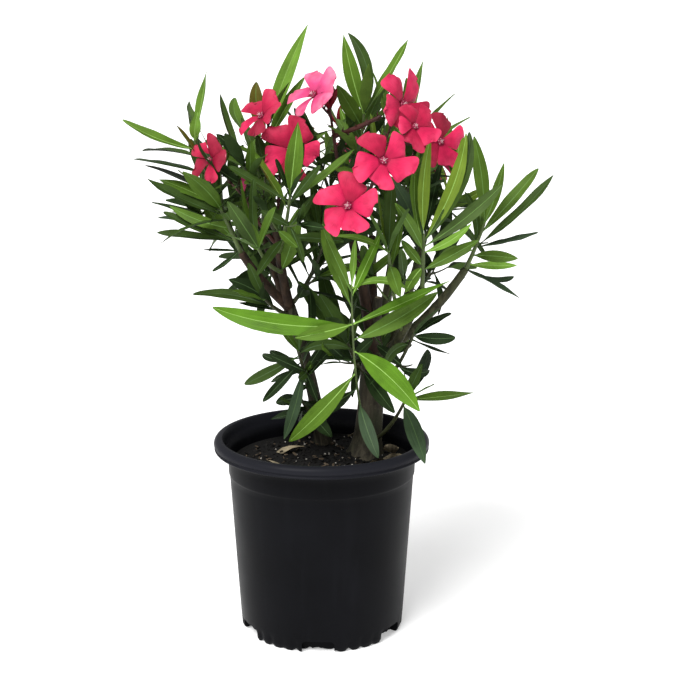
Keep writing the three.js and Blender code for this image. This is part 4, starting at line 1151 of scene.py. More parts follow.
def scatter_recipe():
    """Lays copies of a lump over a surface, turned and sized at random."""
    recipe = Recipe("scattered_lumps", Lump="Object", Density="Float", Seed="Int",
                    Smallest="Float", Tilt="Float", Lift="Float", Material="Material")
    given = recipe.given
    seed, tilt = given["Seed"], given["Tilt"]
    spots = recipe.node("GeometryNodeDistributePointsOnFaces", {
        "Mesh": given["Geometry"], "Density": given["Density"], "Seed": seed})
    lifted = recipe.node("GeometryNodeSetPosition", {
        "Geometry": spots, "Offset": recipe.vector(Z=given["Lift"])})
    back = recipe.maths("MULTIPLY", tilt, -1.0)
    turn = recipe.node("FunctionNodeRandomValue", {
        0: recipe.vector(X=back, Y=back), 1: recipe.vector(X=tilt, Y=tilt, Z=2 * math.pi),
        "Seed": seed}, data_type="FLOAT_VECTOR")
    size = recipe.node("FunctionNodeRandomValue", {
        2: given["Smallest"], 3: 1.0, "Seed": recipe.maths("ADD", seed, 7.0)}, 1,
        data_type="FLOAT")
    shape = recipe.node("GeometryNodeObjectInfo", {"Object": given["Lump"]}, "Geometry")
    recipe.end(recipe.node("GeometryNodeInstanceOnPoints", {
        "Points": lifted, "Instance": shape, "Rotation": turn, "Scale": size}))
    return recipe


def soil_surface(settings):
    """Only the uneven top of the soil, for things to be scattered over."""
    side, step = SURFACE_REACH, 7 * MM
    count = int(2 * side / step) + 1
    places = np.linspace(-side, side, count)
    points = [(x, y, SOIL_TOP + unevenness(x, y, settings)) for y in places for x in places]
    corners = [(row * count + column) for row in range(count - 1) for column in range(count - 1)
               if math.hypot(*points[row * count + column][:2]) < SURFACE_EDGES[0]
               and math.hypot(*points[(row + 1) * count + column + 1][:2]) < SURFACE_EDGES[1]]
    mesh = bpy.data.meshes.new("soil_surface")
    mesh.from_pydata(points, [], [(a, a + 1, a + count + 1, a + count) for a in corners])
    return add_object("soil_surface", mesh)


def scatter(name, settings, shape, **values):
    """Lays copies of a lump over the soil as one piece; the lump is used up."""
    piece = follow(scatter_recipe(), soil_surface(settings), name, Lump=shape, **values)
    bpy.data.objects.remove(shape)
    hand_over(piece, "soil")


def make_soil(settings):
    batch = Batch()
    batch.skin(soil_rings(settings))
    bed = batch.build("soil_bed", [soil_paint(settings.mix)])
    hand_over(bed, "soil", ["soil"])
    size, width = settings.chip_size, settings.grain_size
    scatter("dark_chips", settings, lump("chip", (size, size * 0.5, size * 0.22), 4, 0.7),
            Density=settings.chips, Seed=11, Smallest=0.35, Tilt=0.7, Lift=0.0,
            Material=chip_paint("dark_bark_chip", shade(settings.mix, 2.2)))
    scatter("brown_chips", settings, lump("chip", (size * 1.1, size * 0.4, size * 0.2), 9, 0.7),
            Density=settings.chips * 0.22, Seed=23, Smallest=0.3, Tilt=0.6, Lift=0.6 * MM,
            Material=chip_paint("brown_bark_chip", settings.bark))
    scatter("pale_grains", settings, lump("grain", (width, width * 0.85, width * 0.8), 6, 0.4),
            Density=settings.grains, Seed=31, Smallest=0.25, Tilt=3.0, Lift=0.6 * MM,
            Material=grain_paint(settings.grain))


# Fallen leaves: place on the soil, bearing, rise, length, width and how far each is curled.
FALLEN = (
    ((78, -40, 196), 120, 12, 58, 15, 1.5),
    ((92, -22, 200), 165, -4, 54, 13, 1.9),
    ((66, -58, 195), 60, 6, 50, 13, 1.6),
    ((84, -8, 205), 250, -14, 50, 12, -1.2),
    ((18, -66, 194), 30, 3, 42, 11, 1.3),
    ((-20, 30, 195), 200, 4, 52, 13, 1.2),
    ((30, 70, 195), 20, 3, 54, 14, -1.4),
    ((-58, -18, 194), 310, 3, 38, 10, 1.2),
)


def make_fallen_leaves(settings):
    batch = Batch()
    for number, (place, bearing, rise, length, width, droop) in enumerate(FALLEN):
        out = heading(bearing, rise)
        leaf = Leaf(root=mm(*place), out=out, axis=UP, length=length * MM, width=width * MM,
                    droop=droop, seed=FALLEN_DICE + number, roll=30 * math.sin(5 * number), steps=8)
        add_leaf(batch, leaf, 0, 0, 0, 0.9)
    hand_over(batch.build("fallen_leaves", [dead_leaf_paint(settings.dead)]), "soil")


# Limbs

# Ridges of the bark: how many round a limb, how many along it and how high.
RIDGES = ((2.6, 28, 1.0), (6, 90, 0.5))
SCAR_WIDTH = 1.6 * MM


@functools.lru_cache(maxsize=None)
def limb_curve(name):
    limb = next(row for row in LIMBS if row["name"] == name)
    if "foot" in limb:
        start = np.append(mm(*limb["foot"]), SOIL_TOP - ROOTED)
    else:
        start = limb_curve(limb["parent"]).point(limb["at"])
    return sweep(start, mm(*limb["to"]), limb["bow"])


def limb_radius(limb, t, angles):
    """The smooth radius of a limb by the source's rule: taper, flare of the root and collar."""
    thick, thin = mm(*limb["radii"])
    flare = limb.get("flare", 0) * MM
    root = flare * math.exp(-t * FLARE_FALL) * (1 + FLARE_RIPPLE * np.cos(3 * angles + 1))
    collar = 0 if "foot" in limb else COLLAR * math.exp(-t * COLLAR_FALL)
    return mix(thick, thin, t) + root + collar


def bark_height(limb, seed, t, angles, length, settings):
    """Ridges that wander along a limb and rings of three leaf scars."""
    thick = limb["radii"][0] * MM
    strength = min(thick / (9 * MM), 1.6)
    along = t * length
    ridges = [sum(high * noise.noise((wide * math.cos(a), wide * math.sin(a),
                                      along * close + seed))
                  for wide, close, high in RIDGES) for a in angles]
    ring = along / settings.scar_gap
    nearest = round(ring)
    away = (ring - nearest) * settings.scar_gap / SCAR_WIDTH
    facing = np.cos(3 * (angles - nearest * math.radians(WHORL_TURN))) ** 3
    scars = settings.scar * math.exp(-away * away) * np.clip(facing, 0, 1)
    fresh = 0.35 if limb["name"] == "trunk" else 1.0
    return settings.ridge * strength * np.array(ridges) + fresh * scars


def limb_shares(length, blunt):
    """Shares of the length at which a limb has rings, close together over its rounded end."""
    rings = int(length / (3.2 * MM))
    body = np.linspace(0, 1 - blunt, rings)
    rounding = 1 - blunt * (1 - np.sin(np.linspace(0, math.pi / 2, 7)[1:]))
    return np.append(body, rounding)


def make_limb(limb, seed, settings, materials):
    """One limb with the relief of its bark, its end rounded off, or cut flat on the stub."""
    curve = limb_curve(limb["name"])
    length = curve.length()
    stub = limb["name"] == "pruned_stub"
    blunt = (1.2 * MM if stub else 0.9 * limb["radii"][1] * MM) / length
    sides = TRUNK_SIDES if limb["name"] == "trunk" else BOUGH_SIDES

    def radius_at(t, angles):
        radius = limb_radius(limb, t, angles)
        radius = radius + bark_height(limb, seed, t, angles, length, settings)
        over = max(0.0, (t - 1 + blunt) / blunt)
        end = 0.3 * over**2 if stub else 1 - math.sqrt(max(1 - over * over, 0.0004))
        return radius * (1 - end)

    rings = tube_rings(curve, limb_shares(length, blunt), sides, radius_at)
    kinds = np.zeros((len(rings) - 1, sides), int)
    if stub:
        inner = curve.point(1) + (rings[-1] - curve.point(1)) * np.array([[[0.75]], [[0.4]], [[0.1]]])
        rings = np.concatenate([rings, inner])
        kinds = np.vstack([kinds, np.ones((3, sides), int)])
    batch = Batch()
    batch.skin(rings, kinds)
    hand_over(batch.build(limb["name"] + "_bark", materials), "bark", [limb["name"]])


# The boughs with green brown bark. The two stems and the stub are grey, the rest dark brown.
GREENER = ("bough_right", "bough_front_right", "bough_back_right", "bough_right_inner")


def make_limbs(settings):
    grey = bark_paint("stem_bark", settings.trunk, 0.85)
    brown = bark_paint("bough_bark", settings.bough)
    green = bark_paint("green_bough_bark", settings.green_bough, 0.7)
    cut = cut_paint(settings.cut)
    for number, limb in enumerate(LIMBS):
        bark = green if limb["name"] in GREENER else brown
        if "foot" in limb or limb["name"] == "pruned_stub":
            bark = grey
        make_limb(limb, 10 * number, settings, [bark, cut])


# Growth of the shoots, by the source's rule


@dataclass(frozen=True, eq=False)
class Twig:
    """A leafy twig: where it runs, how thick it is and how its leaves sit."""

    curve: Curve
    radii: tuple
    whorls: int
    size: float
    phase: float
    tone: str
    spray: str


@dataclass(frozen=True, eq=False)
class Leaf:
    """A leaf: where it starts, which way it goes, its size and how it bends."""

    root: np.ndarray
    out: np.ndarray
    axis: np.ndarray
    length: float
    width: float
    droop: float
    curl: float = 0.0
    roll: float = 0.0
    tone: str = "green"
    marked: bool = False
    seed: int = 0
    steps: int = 8


def side_twigs(main, count, rule, first, roll):
    """Twigs off the side of a main twig, by a rule."""
    twigs = []
    for i in range(count):
        at = first + rule["apart"] * i
        axis = main.curve.tangent(at)
        out = around(axis, main.phase + rule["turn"] * i + 40 * roll())
        reach = rule["share"] * main.curve.length()
        start = main.curve.point(at)
        tip = start + axis * reach * rule["forward"] + out * reach * rule["outward"]
        radii = tuple(radius * rule["thinner"] for radius in TWIG_RADII)
        twigs.append(Twig(sweep(start, tip, rule["bow"]), radii, rule["whorls"],
                          main.size * rule["smaller"], 90 * roll(), main.tone, main.spray))
    return twigs


def marked_leaf(curve, mark, letter, seed):
    """A leaf placed by its mark. One whose mark is much narrower than it is long is seen on edge,
    so it is given its whole width and rolled."""
    along, bearing, rise, length, width = mark[:5]
    curl = mark[5] if len(mark) > 5 else 0
    root, out = curve.point(along), heading(bearing, rise)
    whole = max(width, min(0.15 * length, 15))
    return Leaf(root, out, curve.tangent(along), length * MM, whole * MM,
                0.15 if rise > 50 else 0.3, curl, edge_roll(root, out, width / whole),
                TONE_LETTERS[letter], True, seed, 14)


def edge_roll(root, out, share):
    """How far a leaf is rolled to look as narrow as a share of its width from the camera."""
    across = unit(np.cross(FACING, out))
    side = unit(np.cross(out, np.array(CAMERA_PLACE) - root))
    flat_on = math.degrees(math.atan2(np.cross(out, across).dot(side), across.dot(side)))
    edge = math.degrees(math.acos(share))
    rolls = [(flat_on + turn + 90) % 180 - 90 for turn in (edge, -edge)]
    return min(rolls, key=abs)


def whorled_leaves(twig, leaf, roll, deal):
    """Leaves in whorls of three, which spread less and less towards the tip."""
    leaves = []
    spray = twig.spray
    for k in range(twig.whorls):
        share = k / (twig.whorls - 1) if twig.whorls > 1 else 1
        along = mix(BARE_STEM, 0.98, share**0.8)
        axis = twig.curve.tangent(along)
        for i in range(LEAVES_A_WHORL):
            turn = twig.phase + WHORL_TURN * k + 360 / LEAVES_A_WHORL * i + 24 * (roll() - 0.5)
            spread = mix(SPREAD_LOW, SPREAD_TOP, share) + 16 * (roll() - 0.5)
            young = YOUNG_SHARE if share > YOUNG_FROM else 1
            length = leaf[0] * MM * twig.size * young * (0.85 + 0.3 * roll())
            width = leaf[1] * MM * math.sqrt(twig.size) * (0.88 + 0.24 * roll())
            out = axis * math.cos(math.radians(spread))
            out = out + around(axis, turn) * math.sin(math.radians(spread))
            droop = MOST_DROOP * (1.1 - share) * (0.6 + 0.8 * roll())
            place = min(int(share * (len(spray) - 2) + 2 * deal()), len(spray) - 1)
            leaves.append(Leaf(twig.curve.point(along), out, axis, length, width, droop,
                               tone=TONE_LETTERS[spray[place]], seed=int(LEAF_DICE * deal())))
    return leaves


def tuft(twig, leaf, deal):
    """Small young leaves that stand close together on the tip of a twig."""
    axis = twig.curve.tangent(1)
    leaves = []
    for i in range(TUFT["leaves"]):
        spread = math.radians(TUFT["spread"] * (0.6 + 0.8 * deal()))
        out = axis * math.cos(spread) + around(axis, twig.phase + 30 + 120 * i) * math.sin(spread)
        length = leaf[0] * MM * twig.size * TUFT["size"] * (0.8 + 0.4 * deal())
        leaves.append(Leaf(twig.curve.point(0.99), out, axis, length, length * 0.17, TUFT["droop"],
                           tone=TONE_LETTERS[twig.spray[-1 - i % 2]],
                           seed=int(LEAF_DICE * deal())))
    return leaves


def grow(shoot, fine_twigs):
    """The twigs and leaves of a shoot: those of the source's rule first, then the finer ones."""
    roll, deal = dice(shoot["seed"]), dice(shoot["seed"] + FINE_DICE)
    main_curve = sweep(limb_curve(shoot["limb"]).point(shoot["at"]), mm(*shoot["to"]), shoot["bow"])
    radii = tuple(radius * shoot.get("thick", 1.0) for radius in TWIG_RADII)
    main = Twig(main_curve, radii, shoot["whorls"], 1.0, shoot["phase"], shoot["tone"],
                shoot.get("spray", SPRAYS[shoot["tone"]]))
    twigs = [main] + side_twigs(main, shoot.get("side", 0), SIDE_TWIG, SIDE_TWIG["at"], roll)
    marks = shoot.get("marked", ())
    marked = [marked_leaf(main_curve, mark, letter, shoot["seed"] * 100 + number)
              for number, (mark, letter) in enumerate(zip(marks, shoot.get("paints", "")))]
    whorled = [leaf for twig in twigs for leaf in whorled_leaves(twig, shoot["leaf"], roll, deal)]
    fine = []
    if shoot["whorls"] > 1:
        fine = side_twigs(main, fine_twigs, FINE_TWIG, FINE_TWIG["first"], deal)
    finer = [leaf for twig in fine for leaf in whorled_leaves(twig, shoot["leaf"], deal, deal)]
    for twig in fine if marks else twigs + fine:
        finer += tuft(twig, shoot["leaf"], deal)
    return twigs, fine, marked, whorled, finer


def in_dome(leaf):
    """Whether a leaf's tip stays under the dome."""
    tip = leaf.root + leaf.out * leaf.length
    side = (tip[0] - DOME["x"]) / DOME["half_width"]
    back = max(tip[1], 0) / DOME["half_depth"]
    return tip[2] < DOME["top"] - DOME["side_drop"] * side**2 - DOME["back_drop"] * back**2


class Blade:
    """How a leaf lies: the line of its midrib, and which ways are across and up."""

    def __init__(self, leaf):
        aim = FACING if leaf.marked else leaf.axis
        self.leaf = leaf
        self.across = unit(np.cross(aim, leaf.out))
        face = np.cross(leaf.out, self.across)
        curl = math.radians(leaf.curl)
        self.bend = math.hypot(leaf.droop, curl)
        self.inward = (-face * leaf.droop + self.across * curl) / self.bend

    def at(self, t, twist=0.0):
        """The midrib's point at a share of its length, the direction across and the one up."""
        leaf, angle = self.leaf, self.bend * t
        middle = leaf.root + (leaf.out * math.sin(angle) + self.inward * (1 - math.cos(angle))) * (
            leaf.length / self.bend)
        tangent = leaf.out * math.cos(angle) + self.inward * math.sin(angle)
        level = unit(self.across - tangent * tangent.dot(self.across))
        level = rotated(level, tangent, leaf.roll + twist * t)
        return middle, level, np.cross(tangent, level)


def coarse_strip(leaf):
    """A strip of three faces along a leaf, without its root, for the search for crossings."""
    blade = Blade(leaf)
    points = []
    for t, share in ((FREE_LEAF, 0.7), (0.45, 1.0), (0.72, 0.8), (0.95, 0.3)):
        middle, level, _ = blade.at(t)
        points += [middle - level * leaf.width * share / 2, middle + level * leaf.width * share / 2]
    faces = [(i, i + 1, i + 3, i + 2) for i in (0, 2, 4)]
    return np.array(points), faces


class Crossings:
    """Everything placed so far, to find out whether a new leaf would cut through it."""

    def __init__(self):
        self.lows, self.highs, self.trees = [], [], []

    def place(self, points, faces):
        self.lows.append(points.min(0))
        self.highs.append(points.max(0))
        self.trees.append(BVHTree.FromPolygons(points.tolist(), faces))

    def free(self, points, faces):
        near = (np.array(self.lows) < points.max(0)).all(1)
        near &= (np.array(self.highs) > points.min(0)).all(1)
        tree = BVHTree.FromPolygons(points.tolist(), faces)
        return not any(tree.overlap(self.trees[i]) for i in np.flatnonzero(near))


def place_tube(crossings, curve, radius, steps=6, sides=5):
    rings = tube_rings(curve, np.linspace(0, 1, steps), sides, lambda t, angles: radius)
    faces = [(a * sides + b, a * sides + (b + 1) % sides, (a + 1) * sides + (b + 1) % sides,
              (a + 1) * sides + b) for a in range(steps - 1) for b in range(sides)]
    crossings.place(rings.reshape(-1, 3), faces)


def place_flower(crossings, middle, out, radius):
    sides = 12
    ring = [middle + out * FLOWER_CUP + radius * around(out, angle)
            for angle in range(0, 360, 360 // sides)]
    points = np.array(ring + [middle - out * THROAT_DEPTH])
    crossings.place(points, [(i, (i + 1) % sides, sides) for i in range(sides)])


@functools.lru_cache(maxsize=None)
def crown(fine_twigs):
    """All the twigs, and the leaves for which there is room. A marked leaf is kept in any case;
    the others have to be clear of each other, of the wood and of the flowers."""
    crossings = Crossings()
    for limb in LIMBS:
        place_tube(crossings, limb_curve(limb["name"]), limb["radii"][1] * MM)
    for truss in TRUSSES:
        place_tube(crossings, truss_curve(truss), TRUSS_RADII[1])
        for middle, bearing, rise, size, _, _ in truss["flowers"]:
            place_flower(crossings, mm(*middle), heading(bearing, rise), FLOWER_RADIUS * size)
    shoots = [grow(shoot, fine_twigs) for shoot in SHOOTS]
    twigs = [twig for shoot in shoots for twig in shoot[0] + shoot[1]]
    for twig in twigs:
        place_tube(crossings, twig.curve, twig.radii[1] * 0.8)
    leaves = []
    for stage in (2, 3, 4):
        for leaf in (leaf for shoot in shoots for leaf in shoot[stage]):
            fitted = fitted_leaf(leaf, crossings)
            if fitted:
                leaves.append(fitted)
                crossings.place(*coarse_strip(fitted))
    return twigs, leaves


def seen_at(points):
    """Where the camera sees points, in pixels of the photograph."""
    pitch, yaw = math.radians(CAMERA_PITCH), math.radians(CAMERA_YAW)
    ahead = np.array((math.sin(yaw) * math.cos(pitch), math.cos(yaw) * math.cos(pitch),
                      -math.sin(pitch)))
    right = unit(np.cross(ahead, UP))
    offset = points - np.array(CAMERA_PLACE)
    scale = CAMERA_LENS / SENSOR * PICTURE / (offset @ ahead)
    return np.stack([PICTURE / 2 + scale * (offset @ right),
                     PICTURE / 2 - scale * (offset @ np.cross(right, ahead))], -1)


def leaves_open(points):
    """Whether a strip of leaf keeps out of the openings."""
    seen = seen_at(points)
    low, high = seen[:-2], seen[2:]
    along = np.concatenate([mix(low, high, t) for t in (0.0, 0.25, 0.5, 0.75, 1.0)])
    spots = np.array(OPENINGS, float)
    away = np.hypot(along[:, None, 0] - spots[:, 0], along[:, None, 1] - spots[:, 1])
    return not (away < spots[:, 2]).any()


def fitted_leaf(leaf, crossings):
    """The leaf, turned about its stem if it has to be. Where there is no room, a marked leaf
    stays as it is and any other is None."""
    for turn in MARKED_TURNS if leaf.marked else TURNS:
        turned = replace(leaf, out=rotated(leaf.out, leaf.axis, turn))
        points, faces = coarse_strip(turned)
        if leaf.marked or (in_dome(turned) and leaves_open(points)):
            if crossings.free(points, faces):
                return turned
    return leaf if leaf.marked else None


# Twigs and leaves


def add_twig(batch, twig, kind):
    """A twig that swells a little at each whorl, tapering to its tip."""
    length = twig.curve.length()
    shares = np.append(np.linspace(0, 0.97, max(int(length / (7 * MM)), 5)), (0.985, 0.997))
    thick, thin = twig.radii

    def radius_at(t, angles):
        knot = 0.12 * math.cos(2 * math.pi * t * length / (13 * MM)) ** 8
        tip = math.sqrt(max(1 - max(0, (t - 0.95) / 0.05) ** 2, 0.01))
        return mix(thick, thin, t) * (1 + knot + 0.06 * np.cos(3 * angles + 9 * t)) * tip

    batch.skin(tube_rings(twig.curve, shares, 8, radius_at), kind)


def make_twigs(settings, fine_twigs):
    batch = Batch()
    for twig in crown(fine_twigs)[0]:
        add_twig(batch, twig, 1 if twig.tone == "old" else 0)
    twigs = batch.build("green_twigs", [twig_paint("green_twig", settings.twig),
                                        twig_paint("brown_twig", settings.old_twig)])
    hand_over(twigs, "foliage")


STALK = 0.055
BLADE_SHARES = {8: (0, 0.05, 0.13, 0.27, 0.44, 0.62, 0.78, 0.90, 0.975),
                14: (0, 0.03, 0.06, 0.11, 0.18, 0.27, 0.37, 0.47, 0.57, 0.67, 0.76, 0.84, 0.91,
                     0.96, 0.99)}


def blade_outline(t, low, high):
    """Half the width of a blade along its length, as a share of the widest place."""
    s = np.clip((np.asarray(t) - STALK) / (1 - STALK), 0, 1)
    peak = low / (low + high)
    return s**low * (1 - s)**high / (peak**low * (1 - peak)**high)


def add_leaf(batch, leaf, face, rib, back, fold):
    """A closed leaf blade on its stalk: two halves folded up along a midrib, a keel below it,
    and a wave along its edges. face, rib and back are the materials of its parts."""
    roll = dice(leaf.seed)
    young = leaf.tone in LEAF_PIECES["young"]
    low, high = mix(0.75, 1.0, roll()), mix(0.85, 1.15, roll()) if young else mix(0.62, 0.95, roll())
    twist, waves, phase = mix(-22, 22, roll()), mix(1.5, 3.0, roll()), 6.3 * roll()
    fold, ripple = fold * mix(0.4, 1.6, roll()), mix(0.03, 0.11, roll())
    detailed = leaf.steps > 8
    outer = (1.0, 0.55) if detailed else (1.0,)
    blade = Blade(leaf)
    half, rings, uvs = leaf.width / 2, [], []
    shares = np.array(BLADE_SHARES[leaf.steps])
    for t, share in zip(shares, blade_outline(shares, low, high)):
        middle, level, up = blade.at(t, twist)
        reach = max(half * share, 0.8 * MM * (1 - t))
        rib_half = min(mix(0.55, 0.15, t) * MM, 0.4 * reach)
        spots = np.array([u * reach for u in outer] + [rib_half])
        spots = np.concatenate([spots, -spots[::-1]])
        out = np.abs(spots) / reach
        lift = reach * (fold * out + 0.16 * (out - out**2) * (1 if detailed else 0))
        lift += half * ripple * out * np.sin(waves * 2 * math.pi * t + phase + 1.4 * np.sign(spots))
        keel = -(0.3 + 0.9 * (1 - t) ** 2) * MM
        ring = middle + spots[:, None] * level + lift[:, None] * up
        rings.append(np.vstack([ring, middle + keel * up]))
        uvs.append([(0.5 + 0.5 * spot / reach, t) for spot in spots] + [(0.5, t)])
    top = len(outer)
    row = [face] * top + [rib] + [face] * top + [back, back]
    kinds = np.array([row] * (len(shares) - 1))
    kinds[0] = rib
    edges = (0, 2 * top + 1)
    batch.skin(np.array(rings), kinds, edges, np.array(uvs), 2 * top + 1)


def make_leaves(settings):
    leaves = crown(settings.fine_twigs)[1]
    slots = {"young": "foliage_young", "mature": "foliage", "old": "foliage_old"}
    gloss = {"young": 0.46, "mature": 0.44, "old": 0.50}
    for age, tones in LEAF_PIECES.items():
        materials = [leaf_paint("leaf_" + tone, getattr(settings, tone), gloss[age])
                     for tone in tones]
        rib, back = len(tones), len(tones) + 1
        materials.append(rib_paint("rib_" + age, getattr(settings, "rib_" + age)))
        materials.append(leaf_back_paint("leaf_back_" + age, getattr(settings, "back_" + age)))
        batch = Batch()
        for leaf in leaves:
            if leaf.tone in tones:
                add_leaf(batch, leaf, tones.index(leaf.tone), rib, back, settings.fold)
        replaced = ["foliage_" + shoot["name"] for shoot in SHOOTS if shoot["tone"] == age]
        hand_over(batch.build("leaves_" + age, materials), slots[age], replaced)


# Blossom


def truss_curve(truss):
    start = limb_curve(truss["limb"]).point(truss["at"])
    return sweep(start, mm(*truss["to"]), truss["bow"])


def add_spike(batch, root, direction, length, radius, kind, sides=3):
    """A slim spike, such as a bract, a sepal or a tooth of the throat's fringe."""
    curve = straight(root, root + direction * length)
    batch.skin(tube_rings(curve, (0, 0.45, 1), sides,
                          lambda t, angles: radius * (1 - t) ** 0.7 + 0.06 * MM), kind)


PETAL_STEPS = 11
PETAL_SPOTS = 9
PETAL_THICK = 0.35 * MM
PETAL_FOOT = 2.5 * MM
FRINGE_TEETH = 15
STAMENS = 5
SEPALS = 5
STALK_BOW = 0.08
STALK_SIDES = 6


def petal_ring(s, radius, lean, wave, settings):
    """The section of a petal at a share of its length: outward, across and up for each spot,
    along the upper face and back along the lower one. The petal is broader on one side."""
    w = np.linspace(1, -1, PETAL_SPOTS)
    half = radius * settings.breadth * (0.14 + 0.86 * s**1.1) * math.sqrt(max(1 - s**6.5, 0.0))
    half = max(half, 0.6 * MM)
    outward = PETAL_FOOT + (radius - PETAL_FOOT) * s * (1 + 0.11 * w * s**2 - 0.06 * (w * s) ** 2)
    spread = min(half / (0.4 * radius), 1.0)
    outward = outward * (1 + 0.03 * s**3 * spread * np.sin(6 * w + 3 * wave))
    across = half * w * (1 + 0.16 * w * s) + 0.10 * radius * s**2
    up = FLOWER_CUP * s - THROAT_DEPTH * (1 - s) ** 4 - 0.12 * radius * s**4
    up = up - 0.2 * half * w**2 + lean * across
    ruffle = settings.ruffle * radius * spread
    up = up + ruffle * (s**2 * np.sin(3.4 * w * spread + wave)
                        + 0.4 * s**3 * np.sin(8 * w * spread + 2 * wave))
    up = up - 0.06 * radius * s * np.exp(-((w / 0.3) ** 2))
    thick = PETAL_THICK * (1 - 0.6 * s)
    upper = np.stack([outward, across, up], -1)
    lower = np.stack([outward, across, up - thick], -1)[-2:0:-1]
    return np.vstack([upper, lower])


def add_petal(batch, middle, out, turn, radius, kinds, settings, roll):
    """One petal. kinds are the materials of its face, its foot and its underside."""
    face, foot, under = kinds
    along = around(out, turn + 8 * (roll() - 0.5))
    side = np.cross(out, along)
    size = radius * mix(0.90, 1.06, roll())
    lean, wave = mix(0.02, 0.34, roll()), 6.3 * roll()
    shares = np.sin(np.linspace(0, 0.985, PETAL_STEPS + 1) * math.pi / 2) ** 1.1
    local = np.array([petal_ring(s, size, lean, wave, settings) for s in shares])
    axes = np.array((along, side, out))
    sides = local.shape[1]
    row = np.array([face] * (PETAL_SPOTS - 1) + [under] * (sides - PETAL_SPOTS + 1))
    kinds = np.array([row] * PETAL_STEPS)
    kinds[:1, :PETAL_SPOTS - 1] = foot
    spots = np.append(np.linspace(0, 1, PETAL_SPOTS), np.linspace(1, 0, PETAL_SPOTS)[1:-1])
    uv = np.array([[(spot, s) for spot in spots] for s in shares])
    batch.skin(middle + local @ axes, kinds, (0, PETAL_SPOTS - 1), uv, PETAL_SPOTS - 1)


def add_throat(batch, middle, out, size, roll, tube, fringe):
    """The corolla tube behind a flower, the ragged fringe round its mouth and the pale
    feathery tip of its stamens."""
    back = middle - out * 13 * MM * size
    mouth = middle - out * THROAT_DEPTH * 0.4

    def radius_at(t, angles):
        return size * (mix(1.3, 2.0, t) + 1.3 * t**5) * MM * (1 + 0.05 * np.cos(5 * angles))

    batch.skin(tube_rings(straight(back, mouth), np.linspace(0, 1, 8), 15, radius_at), tube)
    for i in range(FRINGE_TEETH):
        ring = around(out, 360 / FRINGE_TEETH * i + 6 * roll())
        direction = unit(ring + out * mix(0.25, 0.8, roll()))
        add_spike(batch, mouth + ring * 2.1 * MM * size, direction, mix(1.2, 2.8, roll()) * MM * size,
                  0.4 * MM, tube if i % 3 else fringe)
    for i in range(STAMENS):
        direction = unit(out + around(out, 360 / STAMENS * i) * 0.45)
        add_spike(batch, mouth, direction, 4.5 * MM * size, 0.8 * MM, fringe)


def add_calyx(batch, foot, out, size, kind):
    """Five narrow sepals round the foot of a tube or bud."""
    for i in range(SEPALS):
        ring = around(out, 360 / SEPALS * i + 20)
        add_spike(batch, foot + ring * 1.1 * MM * size, unit(out + ring * 0.18), 5.5 * MM * size,
                  0.9 * MM * size, kind, 4)


def add_bud(batch, middle, out, kind):
    """A closed bud of twisted petals."""
    foot = middle - out * BUD["neck"]
    curve = straight(foot, foot + out * BUD["length"])

    def radius_at(t, angles):
        body = BUD["ends"] * (1 - t) ** 0.5 + BUD["swell"] * math.sin(math.pi * t**1.25) ** 1.2
        return body * (1 + 0.1 * np.cos(5 * angles - 7 * t)) + 0.1 * MM

    batch.skin(tube_rings(curve, np.linspace(0, 1, 13), 15, radius_at), kind)


def add_truss_stem(batch, curve, radii, sides=8):
    """A stem of a truss, with knots where its bracts stand."""
    length = curve.length()
    shares = np.linspace(0, 1, max(int(length / (4 * MM)), 4))

    def radius_at(t, angles):
        knot = 0.25 * math.cos(math.pi * t * length / (8 * MM)) ** 8
        return mix(*radii, t) * (1 + knot)

    batch.skin(tube_rings(curve, shares, sides, radius_at), 0)
    for number, along in enumerate(np.arange(10 * MM, length, BRACT["apart"])):
        share = along / length
        axis = curve.tangent(share)
        ring = around(axis, 137 * number)
        add_spike(batch, curve.point(share) + ring * radii[1] * 0.5, unit(axis * 0.7 + ring),
                  BRACT["length"], BRACT["radius"], 0, 4)


def bud_places(truss, curve):
    axis, tip = curve.tangent(1), curve.point(1)
    for i in range(truss["buds"]):
        out = unit(axis + around(axis, BUD["turn"] * i) * BUD["spread"])
        yield tip + out * BUD["reach"], out


def make_truss_stems(settings):
    batch = Batch()
    for truss in TRUSSES:
        curve = truss_curve(truss)
        add_truss_stem(batch, curve, TRUSS_RADII)
        branch = curve.point(FLOWERS_FROM)
        for middle, bearing, rise, size, _, _ in truss["flowers"]:
            out = heading(bearing, rise)
            neck = mm(*middle) - out * (FLOWER_NECK + 6 * MM * size)
            add_truss_stem(batch, sweep(branch, neck, STALK_BOW), FLOWER_STALK, STALK_SIDES)
            add_calyx(batch, neck, out, size, 0)
        for middle, out in bud_places(truss, curve):
            foot = middle - out * BUD["neck"]
            stalk = straight(curve.point(0.98), foot + out * 1 * MM)
            add_truss_stem(batch, stalk, FLOWER_STALK, STALK_SIDES)
            add_calyx(batch, foot - out * 0.5 * MM, out, 1.0, 0)
        if truss["name"] == SIDE_STEM["truss"]:
            side = sweep(curve.point(SIDE_STEM["at"]), mm(*SIDE_STEM["to"]), SIDE_STEM["bow"])
            add_truss_stem(batch, side, SIDE_STEM["radii"])
    hand_over(batch.build("truss_stems", [twig_paint("truss_stem", settings.stem)]), "bark")


